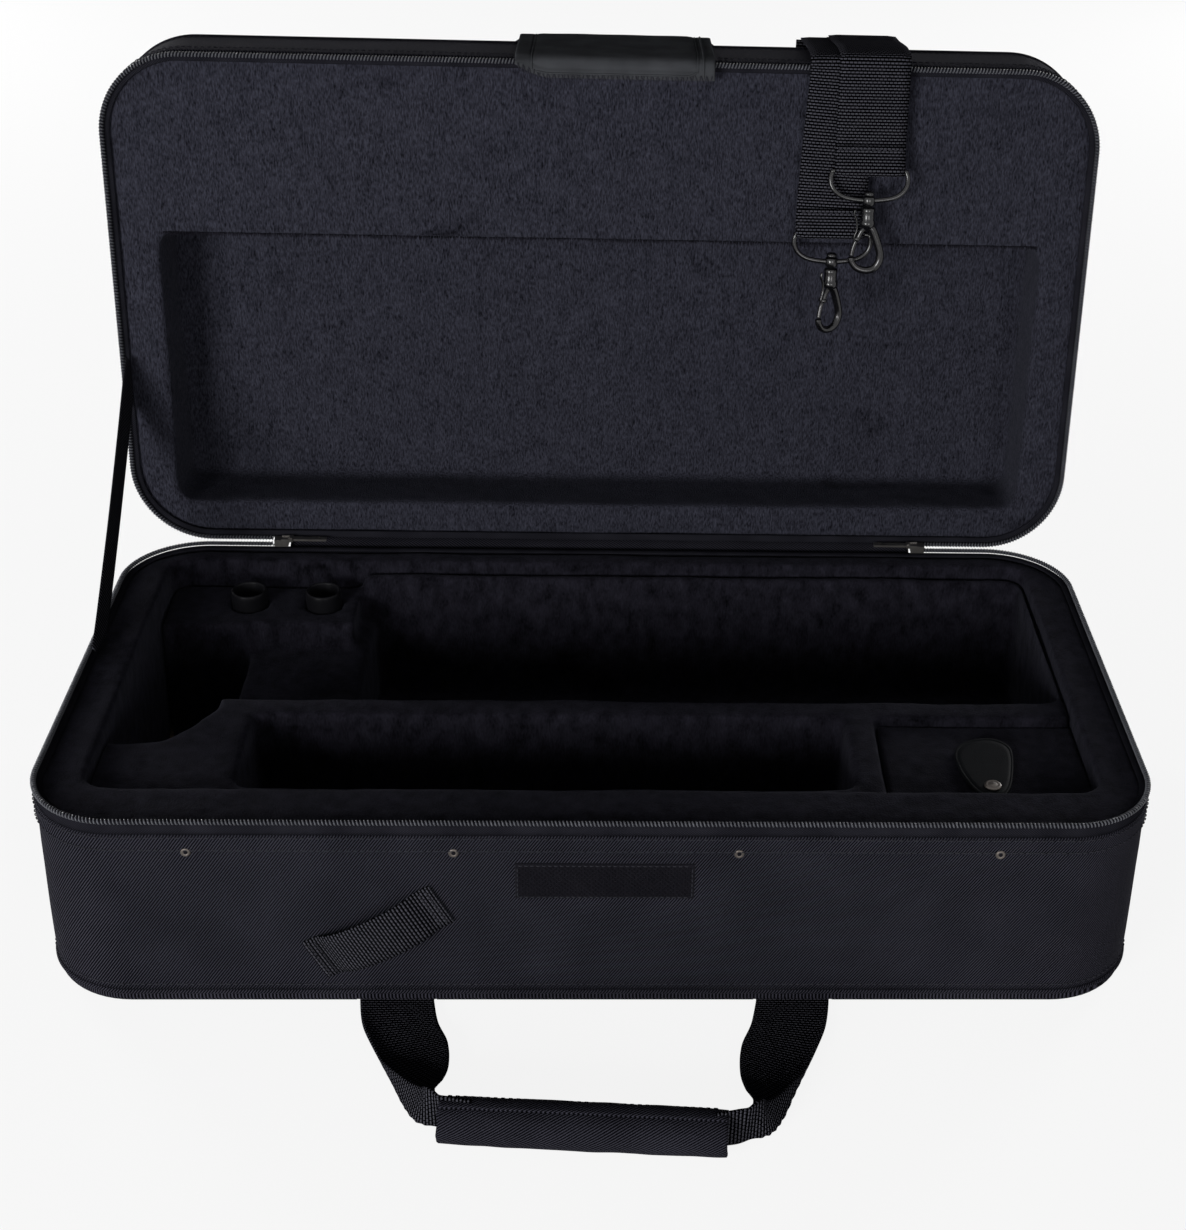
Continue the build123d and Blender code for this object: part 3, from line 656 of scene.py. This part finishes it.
def strap_behind():
    """The rest of the shoulder strap, hanging behind the lid in one loop."""
    tail = LID @ at((0, CASE_D / 2 + 0.0016, -0.0622), radians(4))
    x0, x1 = STRAPS[0][1], STRAPS[1][1]
    mid, low = (x0 + x1) / 2, -0.300
    line = [(0.0, -0.0007, x0), (-0.05, -0.0009, x0), (-0.15, -0.0007, mid), (-0.25, -0.0010, mid),
            (low + 0.012, -0.0012, mid), (low, -0.0007, mid), (low - 0.0040, -0.0030, mid),
            (low - 0.0052, -0.0054, mid), (low - 0.0038, -0.0080, mid), (low, -0.0101, mid),
            (low + 0.012, -0.0100, mid), (-0.20, -0.0098, mid), (-0.10, -0.0099, x1), (0.0, -0.0101, x1)]
    keys = [flat_key((x, v, level), (1, 0, 0)) for v, level, x in line]
    loop = ribbon("strap_loop", keys, STRAP_W, STRAP_T, 8, "strap_tail", ["strap_tail"], tail)


# ---- carry handle
def folded_strap(inner, crease, angles, width, across=18):
    """Strap from its inner edge to a crease, and from there folded up by what is left of its width."""
    grid = []
    for i, (edge, fold, angle) in enumerate(zip(inner, crease, angles)):
        edge, fold = Vector(edge), Vector(fold)
        along = (Vector(crease[min(i + 1, len(crease) - 1)]) - Vector(crease[max(i - 1, 0)])).normalized()
        toward = edge - fold
        toward = (toward - along * toward.dot(along)).normalized()
        up = along.cross(toward)
        if up.z < 0:
            up = -up
        flat = (edge - fold).length
        rest = max(width - flat, 0.0006)
        free = fold + rest * (cos(radians(angle)) * toward + sin(radians(angle)) * up)
        row = []
        for j in range(across + 1):
            spots = []
            for step in range(-3, 4):
                reach = min(max(j / across * (flat + rest) + step * 0.0006, 0.0), flat + rest)
                if reach < flat:
                    spots.append(edge.lerp(fold, reach / flat))
                else:
                    spots.append(fold.lerp(free, (reach - flat) / rest))
            row.append(sum(spots, Vector()) / len(spots))
        grid.append(row)
    return grid


def sewn_end(name, body, nodes, corner, length, normal, matrix=None):
    """End of a handle strap sewn down flat, with a crossed box of stitches. corner is its lowest corner."""
    x, y, z = corner
    grid = [[Vector((x + HANDLE_W * j / 8, y + length * i / 20, z)) for j in range(9)] for i in range(21)]
    end = cloth(name, grid, HANDLE_W, 0.0006, body, nodes, matrix)
    level = z + normal * 0.0007
    edge = 0.003
    x0, x1 = x + edge, x + HANDLE_W - edge
    y0, y1 = y + edge, y + length - edge
    corners = [(x0, y0, level), (x1, y0, level), (x1, y1, level), (x0, y1, level)]
    spots = []
    for i, k in ((0, 1), (1, 2), (2, 3), (3, 0), (0, 2), (1, 3)):
        spots += row_between(corners[i], corners[k], (0, 0, normal), 0.0030)
    stitches(name + "_stitches", spots, body, matrix)


def carry_handle():
    """Two straps that come out flat from under the case and fold lengthwise into the grip."""
    inner = mm((78.5, -130, 1.2), (78.4, -135, 1.2), (78, -140, 1.4), (74.8, -156, 2.6), (69, -172, 4.6),
               (67.6, -188, 6), (69.5, -201, 9.5), (72.5, -212, 14.5), (70, -223.2, 18), (64, -226.5, 19),
               (54, -228.5, 19.5))
    crease = mm((115, -130, 1.2), (114.5, -135, 1.2), (113.3, -140, 1.4), (108, -159, 1.8),
                (100.8, -180, 2.2), (93.2, -198, 2.4), (86.2, -214, 2.5), (79.5, -223.5, 2.6),
                (70, -226.2, 2.8), (64, -229, 3), (54, -230.5, 3.2))
    angles = [180, 180, 172, 140, 104, 78, 52, 30, 12, 8, 8]
    turns = [angle for angle, in smooth_line([(angle,) for angle in angles], 9)]
    for word, side in (("left", -1), ("right", 1)):
        shift = 0.0085 if side > 0 else 0.0

        def bent(points):
            made = []
            for x, y, z in smooth_line(points, 9):
                ahead = min(max((-y - 0.150) / 0.065, 0.0), 1.0)
                made.append((side * x, y - shift * ahead, z))
            return made

        grid = folded_strap(bent(inner), bent(crease), turns, HANDLE_W)
        web = cloth("handle_strap_" + word, grid, HANDLE_W, 0.0007, None, ["handle_web_" + word])
        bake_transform(web)
        sewn_end("handle_tab_" + word, "base", ["handle_tabs"] if side > 0 else [],
                 (side * 0.097 - HANDLE_W / 2, -0.1310, 0.0012), 0.0610, -1)


def carry_grip():
    """Padded cloth rolled round the straps, its edge lying along the top."""
    length, around, along = 0.129, 56, 90
    verts, uvs = [], []
    axis = at((-0.0045, -0.2349, 0.0113), -radians(4.1), "Z")
    for i in range(along + 1):
        t = i / along
        x = (t - 0.5) * length
        swell = 0.0112 - 0.0005 * abs(2 * t - 1) ** 6 + 0.00025 * wobble(x * 60, 0, 3)
        for layer in (1, -1):
            turns = range(around + 1) if layer > 0 else range(around, -1, -1)
            for j in turns:
                a = radians(62) + 2 * pi * 1.12 * j / around
                spiral = 0.0013 * (1 - j / around)
                r = swell - spiral * 0.9 - (0.0 if layer > 0 else 0.0011)
                r += 0.0003 * wobble(x * 90, cos(a) * 2, sin(a) * 2)
                ragged = 0.0011 * wobble(a * 3, t * 40, 1) if i in (0, along) else 0.0
                verts.append(Vector((x + ragged, r * cos(a), min(max(r * sin(a), -0.0109), 0.0110))))
                uvs.append((x, a * 0.011))
    columns = 2 * (around + 1)
    faces = grid_faces(along + 1, columns, False, True) + end_faces(len(verts), columns)
    piece("grip_roll", verts, faces, "wall_twill", "carry_handle", ["handle_grip"], axis, uvs)
    spots = row_between((-0.062, 0.0060, 0.0089), (0.062, 0.0060, 0.0089), (0, 0.45, 0.9))
    stitches("grip_stitches", spots, "carry_handle", axis)


# ---- lid handle
def wrap_grid(x0, x1):
    """Middle surface of the wrap: up the lid's outer face, over its edge and down over the zipper."""
    top = CASE_D / 2
    columns = 106
    sides = []
    for j in range(columns + 1):
        x = x0 + (x1 - x0) * j / columns
        end = top - 0.0088 + 0.0070 * max(0.0, 1 - (x - x0) / 0.019) ** 1.7
        line = [(top + 0.00145, -0.0612), (top + 0.0016, -0.0450), (top + 0.0019, -0.0250),
                (top + 0.0021, -0.0080), (top + 0.0018, 0.0004), (top - 0.0002, 0.0052),
                ((top - 0.0008 + end) / 2, 0.0065), (end, 0.0064)]
        sides.append([Vector((x, v, w)) for v, w in smooth_line(line, 9)])
    return [list(row) for row in zip(*sides)]


def lid_handle():
    """Padded wrap on top of the open lid, with a bound lip that falls over the zipper."""
    x0, x1 = -0.0480, 0.0580
    grid = wrap_grid(x0, x1)
    rows, columns = len(grid), len(grid[0]) - 1
    seam = 9                                # columns from each side to the seam, one per millimetre

    def half(i, j):
        x = grid[i][j].x
        low = (grid[i][j] - grid[rows - 1][j]).length
        inside = min(x - x0 - 0.0090, x1 - x - 0.0090, low - 0.0050)
        rim = min(max(min(x - x0, x1 - x, low) / 0.0012, 0.0), 1.0)
        filled = min(max(inside / 0.0040, 0.0), 1.0)
        groove = 0.0004 * max(0.0, 1 - abs(inside) / 0.0012)
        wave = 0.0003 * wobble(x * 45, i * 0.12, 5)
        return 0.0005 + 0.0003 * rim - groove + (0.0005 + wave) * filled

    pad = piece("handle_pad", *skin(grid, half), "pad_cloth", None, ["lid_handle_wrap", "wrap_flap"], LID)
    hem = rows - 7
    turn_in = [(hem - 5 + k, columns - seam - round(k * k / 5)) for k in range(1, 6)]
    routes = [[(i, columns - seam) for i in range(hem - 4)] + turn_in
              + [(hem, j) for j in range(columns - 15, 10, -1)],
              [(i, columns - 6) for i in range(hem + 3)],
              [(i, seam) for i in range(hem)]]
    outward = 1 if lift(grid, 4, 50).y > 0 else -1
    ropes = []
    for route in routes:
        path = [grid[i][j] + outward * lift(grid, i, j) * half(i, j) for i, j in route]
        ropes.append(tube(path, 0.0006, 6))
    cords = piece("pad_cords", *gather(ropes), "pad_cloth", matrix=LID)
    for part in (pad, cords):
        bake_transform(part)
    spots = []
    count = 64
    for k in range(count):
        j = min(columns, round(2 + (columns - 4) * k / (count - 1)))
        low, high = grid[rows - 1][j], grid[rows - 6][j]
        along = (high - low).normalized() + Vector((0.28 if k % 2 else -0.28, 0, 0))
        spots.append((low.lerp(high, 0.55) + Vector((0, 0, 0.0011)), along.normalized(), Vector((0, 0, 1))))
    stitches("pad_overlock", spots, "wrap_flap", LID, 0.0036, 0.00030)


def lid_handle_straps():
    """Straps on the lid's outer face, slanting up from their sewn ends to the wrap."""
    for word, side, end in (("left", -1, -0.0480), ("right", 1, 0.0580)):
        out = side * 0.084
        inner = end - side * HANDLE_W / 2
        grid = []
        for i in range(25):
            v = 0.0945 + 0.0452 * i / 24
            share = min(max((v - 0.1000) / 0.0397, 0.0), 1.0)
            middle = out + (inner - out) * share ** 1.15
            grid.append([Vector((middle + HANDLE_W * (j / 8 - 0.5), v, LID_FACE)) for j in range(9)])
        web = cloth("lid_handle_strap_" + word, grid, HANDLE_W, 0.00065, None,
                    ["lid_handle_webs"] if side > 0 else [], LID)
        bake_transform(web)
        sewn_end("lid_handle_tab_" + word, "lid", ["lid_handle_tabs"] if side > 0 else [],
                 (out - HANDLE_W / 2, 0.0700, LID_FACE), 0.0245, -1, LID)


# ---- front loop, patch, small fittings
def front_loop():
    """Slanting webbing loop on the front wall, standing off it between its two sewn ends."""
    turn = at((-0.104, -CASE_D / 2 + FACE_IN, 0.045), -radians(29), "Y")
    line = mm((-35, 1.2), (-31, 1.2), (-26.5, 1.8), (-20, 5.2), (-10, 7.4), (0, 8), (10, 7.6), (20, 5.6),
              (26.5, 2.2), (31, 1.6), (35, 1.6))
    keys = [flat_key((x, -out, 0), (0, 0, 1)) for x, out in line]
    strap = ribbon("loop_strap", keys, 0.024, 0.0015, 7, "base", ["front_loop"], turn)
    spots = []
    for x in (-0.0325, -0.0290, 0.0290, 0.0325):
        spots += row_between((x, -0.0026, -0.0105), (x, -0.0026, 0.0105), (0, -1, 0), 0.0026)
    stitches("loop_stitches", spots, "base", turn, 0.0021)


def hook_patch():
    """Bare strip of hook tape: a cloth strip set with rows of small bent bristles."""
    x0, x1, z0, z1 = -0.0385, 0.0465, 0.0645, 0.0850
    wall = -CASE_D / 2 + FACE_IN
    bevel = 0.0004
    outline = [(x0, z0), (x1, z0), (x1, z1), (x0, z1)]
    verts = [Vector((x, wall, z)) for x, z in outline]
    verts += [Vector((x + (bevel if x == x0 else -bevel), wall - 0.0007, z + (bevel if z == z0 else -bevel)))
              for x, z in outline]
    faces = [[0, 1, 2, 3], [4, 5, 6, 7]] + [[i, (i + 1) % 4, (i + 1) % 4 + 4, i + 4] for i in range(4)]
    bristles = [(verts, faces)]
    rng = random.Random(4)
    across, up, edge = 62, 14, 0.0022
    for i in range(across):
        for j in range(up):
            x = x0 + edge + i * (x1 - x0 - 2 * edge) / (across - 1)
            z = z0 + edge + j * (z1 - z0 - 2 * edge) / (up - 1)
            bend = rng.uniform(-0.0003, 0.0003)
            lean = 0.0005 if (i + j) % 2 else -0.0005
            foot = Vector((x, wall - 0.0006, z))
            path = [foot, foot + Vector((bend, -0.0008, 0)), foot + Vector((bend, -0.0010, lean)),
                    foot + Vector((bend, -0.0006, lean * 1.5))]
            bristles.append(tube(path, 0.00014, 4, side=(1, 0, 0)))
    piece("hook_tape", *gather(bristles), "loop_cloth", "base", ["hook_loop_patch"], smooth=False)
    seam, level = 0.0012, wall - 0.0008
    spots = []
    for z in (z0 + seam, z1 - seam):
        spots += row_between((x0 + seam, level, z), (x1 - seam, level, z), (0, -1, 0), 0.0028)
    for x in (x0 + seam, x1 - seam):
        spots += row_between((x, level, z0 + seam), (x, level, z1 - seam), (0, -1, 0), 0.0028)
    stitches("patch_stitches", spots, "base", length=0.0021)


def eyelets():
    """Small dished eyelets that hold the cloth of the front wall."""
    face = -CASE_D / 2 + 0.00125
    ring = lathe(mm((0.3, 0.9), (0.7, 0.4), (1, 0.5), (1.4, 0.1), (1.9, 0.1), (2.3, 0.4), (2.5, 1),
                    (2.4, 1.6), (0.4, 1.6)), 28)
    shank = lathe(mm((0.4, 0.4), (0.9, 0.6), (1, 1.2), (0.4, 1.2)), 16)
    outer = CASE_W / 2 - 0.079
    rings, shanks = [], []
    for x in (-outer, -0.067, 0.067, outer):
        rings.append(moved(ring, at((x, face - 0.0012, RIM_Z - 0.015))))
        shanks.append(moved(shank, at((x + 0.0001, face - 0.0016, RIM_Z - 0.015))))
    piece("front_eyelets", *gather(rings), "old_metal", "base", ["front_rivets"])
    piece("eyelet_hearts", *gather(shanks), "loop_cloth", "base")


def cups():
    """Moulded cups let into the plush block."""
    low, high = 0.0301, 0.0962
    profile = [(0.0002, low), (0.0092, low), (0.0100, low + 0.0008), (0.0100, high - 0.0030),
               (0.0099, high - 0.0012), (0.0096, high - 0.0004), (0.0091, high), (0.0086, high - 0.0004),
               (0.0083, high - 0.0012), (0.0082, low + 0.0040), (0.0078, low + 0.0032),
               (0.0002, low + 0.0030)]
    parts = [moved(lathe(profile, 40), at((x, 0.104, 0), pi / 2)) for x in (-0.200, -0.158)]
    piece("mouthpiece_cups", *gather(parts), "black_plastic", "base", ["mouthpiece_holders"])


def leather_tab():
    """Pull tab of the small compartment: one piece of leather, riveted at its narrow end."""
    outline = mm((180.3, -60), (184.8, -50), (194.5, -45.3), (204, -46.2), (210.2, -55), (207, -78),
                 (201.8, -93), (194.5, -97.3), (187.2, -92.2), (182.2, -78))
    ring = smooth_line([outline[-1]] + outline + outline[:2], 6)[6:-6]
    middle = Vector((0.1950, -0.0700, 0))
    low, high = 0.0931, 0.0948
    levels = [(0.30, low), (0.97, low), (1.0, low + 0.0005), (1.0, high - 0.0005), (0.975, high),
              (0.935, high), (0.915, high - 0.0003), (0.895, high)]
    levels += [(share, high + 0.0001) for share in (0.78, 0.62, 0.45, 0.28, 0.12)]
    count = len(ring) - 1
    verts = []
    for share, z in levels:
        for x, y in ring[:count]:
            spot = middle + (Vector((x, y, 0)) - middle) * share
            verts.append(Vector((spot.x, spot.y, z + 0.0010 * max(0.0, (spot.y + 0.075) / 0.03) ** 2)))
    faces = grid_faces(len(levels), count, False, True) + end_faces(len(verts), count)
    tab = piece("leather_tab", verts, faces, "leather", None, ["tab_root", "pull_tab"])
    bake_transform(tab)
    head = lathe(mm((0.2, 1.1), (2, 1), (2.6, 0.7), (3.1, 0.9), (3.8, 0.8), (4.3, 0.3), (4.4, -0.3),
                    (3, -0.8), (0.4, -1)), 32)
    head = moved(head, at((0.1953, -0.0878, 0.0954), pi / 2))
    piece("tab_rivet_head", *head, "old_metal", "small_lid", ["tab_rivet"])


def stay():
    """Webbing stay that keeps the open lid from falling back, at the left end."""
    x = -CASE_W / 2 + 0.0043
    upper, lower = LID @ Vector((x, -0.0395, -0.0014)), Vector((x, 0.0248, 0.1046))
    along = (lower - upper).normalized()
    side = Vector((0, along.z, -along.y))
    keys = []
    for share, lean, scale in ((-0.02, 0.0, 1.0), (0.06, 0.0, 1.0), (0.3, 0.0004, 0.98), (0.6, 0.0006, 0.97),
                               (0.9, 0.0003, 0.99), (1.0, 0.0, 1.0), (1.03, -0.0002, 1.0)):
        spot = upper.lerp(lower, share) + Vector((lean, 0, 0))
        keys.append(flat_key(spot, side, scale))
    width, length = 0.025, (upper - lower).length * 1.05
    strap = ribbon("stay_webbing", keys, width, 0.0013, 10, None, ["stay_strap"])
    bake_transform(strap)


def hinge_cloth():
    """Cloth hinge along the back, sewn to both walls."""
    y, z = CASE_D / 2, RIM_Z
    width, columns = 0.3626, 120
    line = smooth_line([(y - 0.0007, z - 0.0140), (y - 0.0007, z - 0.0050), (y + 0.0018, z - 0.0018),
                        (y + 0.0055, z + 0.0004), (y + 0.0110, z + 0.0012), (y + 0.0255, z + 0.0005)], 6)
    grid = []
    for py, pz in line:
        row = []
        for j in range(columns + 1):
            x = -width / 2 + width * j / columns
            ripple = 0.0003 * wobble(x * 60, py * 200, 1)
            row.append(Vector((x, py + ripple, pz + ripple)))
        grid.append(row)
    strip = cloth("hinge_cloth", grid, width, 0.00045, None, ["hinge_gusset"], mat="wall_twill")
    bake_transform(strip)
    side = 0.178
    spots = []
    for x in (-side, side):
        spots += row_between((x, y + 0.0003, z - 0.0130), (x, y + 0.0003, z - 0.0060), (0, 1, 0), 0.0030)
    spots += row_between((-side, y - 0.0002, z - 0.0125), (side, y - 0.0002, z - 0.0125), (0, 1, 0))
    stitches("hinge_stitches", spots, "base")


def side_rings():
    """D-shaped rings at the two ends, each in a sewn loop of webbing."""
    wall, y0, z0 = CASE_W / 2 - FACE_IN, 0.0205, 0.0605
    bow = mm((0, 13.8, 0), (0, 13.4, -5), (0, 9.8, -10), (0, 0, -13.9), (0, -9.8, -10), (0, -13.4, -5),
             (0, -13.8, 0))
    ring = tube(smooth_line(bow, 6), 0.0014, 10, closed=True, side=(1, 0, 0))
    line = mm((0.7, 31), (0.7, 5), (1, 0.5), (2.9, -2.1), (5, 0.1), (4, 2.8), (2.4, 5.5), (2.1, 12),
              (2.1, 30))
    for word, side in (("left", -1), ("right", 1)):
        node = "d_ring_" + word
        piece("side_ring_" + word, *ring, "black_metal", node, [node], at((side * (wall + 0.0029), y0, z0)))
        keys = [flat_key((side * (wall + out), y0, z0 + up), (0, 1, 0)) for out, up in line]
        loop = ribbon("ring_loop_" + word, keys, 0.0240, 0.0011, 7, "base", ["ring_tabs"] if side > 0 else [])
        level, low, high = side * (wall + 0.0029), 0.0685, 0.0880
        front, back = y0 - 0.0105, y0 + 0.0105
        spots = []
        for z in (low, high):
            spots += row_between((level, front, z), (level, back, z), (side, 0, 0), 0.0028)
        for y in (front, back):
            spots += row_between((level, y, low), (level, y, high), (side, 0, 0), 0.0028)
        stitches("ring_loop_stitches_" + word, spots, "base", length=0.0022)


def welts():
    """Round welt cords under cloth, between the walls and the panels."""
    step, sides = 0.003, 10
    for word, matrix, depth in TRAYS:
        level = -depth + 0.0062 + 0.0016 + 0.0001
        path = [(x, y, level + 0.0001 * wobble(x * 40, y * 40, 0))
                for x, y, *_ in perimeter(0.002, step)]
        verts, faces = tube(path, 0.00158, sides, closed=True, side=(0, 0, 1))
        uvs = [(j * 0.001, i * step) for i in range(len(path)) for j in range(sides)]
        piece(word + "_welt", verts, faces, "wall_twill", word, [word + "_piping"], matrix, uvs)


def fringe():
    """Pile that hangs over the sharp upper edge of the lid's recess, in the darker plush copy, which paints
    the shadow under that edge.
    """
    rng = random.Random(11)
    blades = []
    x0, x1 = -CASE_W / 2 + 0.029, CASE_W / 2 - 0.029
    count = 900
    radii = [0.00034, 0.00026, 0.00008]
    for i in range(count):
        x = x0 + (x1 - x0) * (i + rng.random()) / count
        long = rng.uniform(0.0016, 0.0036) * (0.7 + 0.6 * wobble(x * 30, 0, 0))
        root = Vector((x, 0.0420, -0.0018 + rng.uniform(-0.0004, 0.0003)))
        tip = root + Vector((rng.uniform(-0.0007, 0.0007), -long, 0.0005))
        blades.append(tube([root, root.lerp(tip, 0.6) + Vector((0, 0, 0.0002)), tip], radii, 3))
    # the pile is real, its darker plush is painted shadow along the edge
    piece("recess_pile", *gather(blades), "base_plush", "lid", matrix=LID)


# ---- stage, light, camera
def carry_over():
    """Materials for the solids that stay in sight as they are."""
    chosen = {"twill": ["base_panel", "lid_panel"], "board": ["base_shell", "lid_shell"],
              "black_plastic": ["strap_adjuster"],
              "bright_metal": ["zip_sliders", "zip_pull_left", "zip_pull_right"]}
    for mat, nodes in chosen.items():
        for node in nodes:
            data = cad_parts[node].data
            data.materials.clear()
            data.materials.append(MAT[mat])


def seen_directly(tree):
    """1 for what the camera or a mirroring surface sees, 0 for the light that falls on the object."""
    rays = add(tree, "LightPath")
    return maths(tree, "MAXIMUM", rays.outputs["Is Camera Ray"], rays.outputs["Is Glossy Ray"])


def floor():
    mesh = bpy.data.meshes.new("floor")
    reach = 6.0
    corners = [(-reach, -reach, 0), (reach, -reach, 0), (reach, reach, 0), (-reach, reach, 0)]
    mesh.from_pydata(corners, [], [[0, 1, 2, 3]])
    tree, surface = shader("floor", 0.9)
    surface.inputs["Base Color"].default_value = (0.90, 0.90, 0.90, 1)
    white = add(tree, "Emission", {"Color": (1, 1, 1, 1), "Strength": 1.0}).outputs["Emission"]
    share = maths(tree, "MULTIPLY", seen_directly(tree), 0.88)
    mixed = add(tree, "MixShader", {0: share, 1: surface.outputs["BSDF"], 2: white})
    tree.links.new(mixed.outputs["Shader"], tree.nodes["Material Output"].inputs["Surface"])
    mesh.materials.append(MAT["floor"])
    put("floor", mesh)


def lights():
    world = bpy.data.worlds.new("studio")
    bpy.context.scene.world = world
    world.use_nodes = True
    tree = world.node_tree
    back = tree.nodes["Background"]
    back.inputs["Color"].default_value = (1, 1, 1, 1)
    strength = add(tree, "MapRange", {"Value": seen_directly(tree), "To Min": 0.06, "To Max": 1.0})
    tree.links.new(strength.outputs["Result"], back.inputs["Strength"])
    for name, spot, size, power in (
            ("key", (-1.3, -2.0, 0.50), 0.9, 46),
            ("fill", (0.7, -2.3, 0.50), 0.9, 14),
            ("back_left", (-1.7, 1.8, 0.4), 0.7, 34),
            ("back_right", (1.7, 1.8, 0.4), 0.7, 34)):
        data = bpy.data.lights.new(name, "AREA")
        data.energy = power
        data.size = size
        obj = put(name, data)
        obj.location = spot
        obj.rotation_euler = (Vector((0, 0, 0.15)) - Vector(spot)).to_track_quat("-Z", "Y").to_euler()


def camera():
    """The photograph's own viewing angle, found together with the case's size."""
    pitch, yaw, roll = radians(28.197), radians(3.056), radians(-2.018)
    focal, centre = 2034.0, (704.9, 565.4)      # pixels
    width, height = 1186, 1230
    ahead = Vector((sin(yaw) * cos(pitch), cos(yaw) * cos(pitch), -sin(pitch)))
    right = Vector((cos(yaw), -sin(yaw), 0))
    down = ahead.cross(right)
    across = cos(roll) * right + sin(roll) * down
    below = -sin(roll) * right + cos(roll) * down
    turn = Matrix((across, -below, -ahead)).transposed().to_4x4()
    data = bpy.data.cameras.new("camera")
    data.sensor_width = 36.0
    data.lens = focal / height * data.sensor_width
    data.shift_x = (width / 2 - centre[0]) / height
    data.shift_y = (centre[1] - height / 2) / height
    data.clip_start = 0.01
    obj = put("camera", data)
    obj.matrix_world = Matrix.Translation((0.0045, -0.9170, 0.6626)) @ turn
    bpy.context.scene.camera = obj


bpy.context.scene.view_settings.view_transform = "Standard"
materials()
camera()
lights()
floor()
carry_over()
linings()
walls()
zippers()
front_straps()
wire_rings()
snap_hooks()
strap_behind()
carry_handle()
carry_grip()
lid_handle()
lid_handle_straps()
front_loop()
hook_patch()
eyelets()
cups()
leather_tab()
stay()
hinge_cloth()
side_rings()
welts()
fringe()
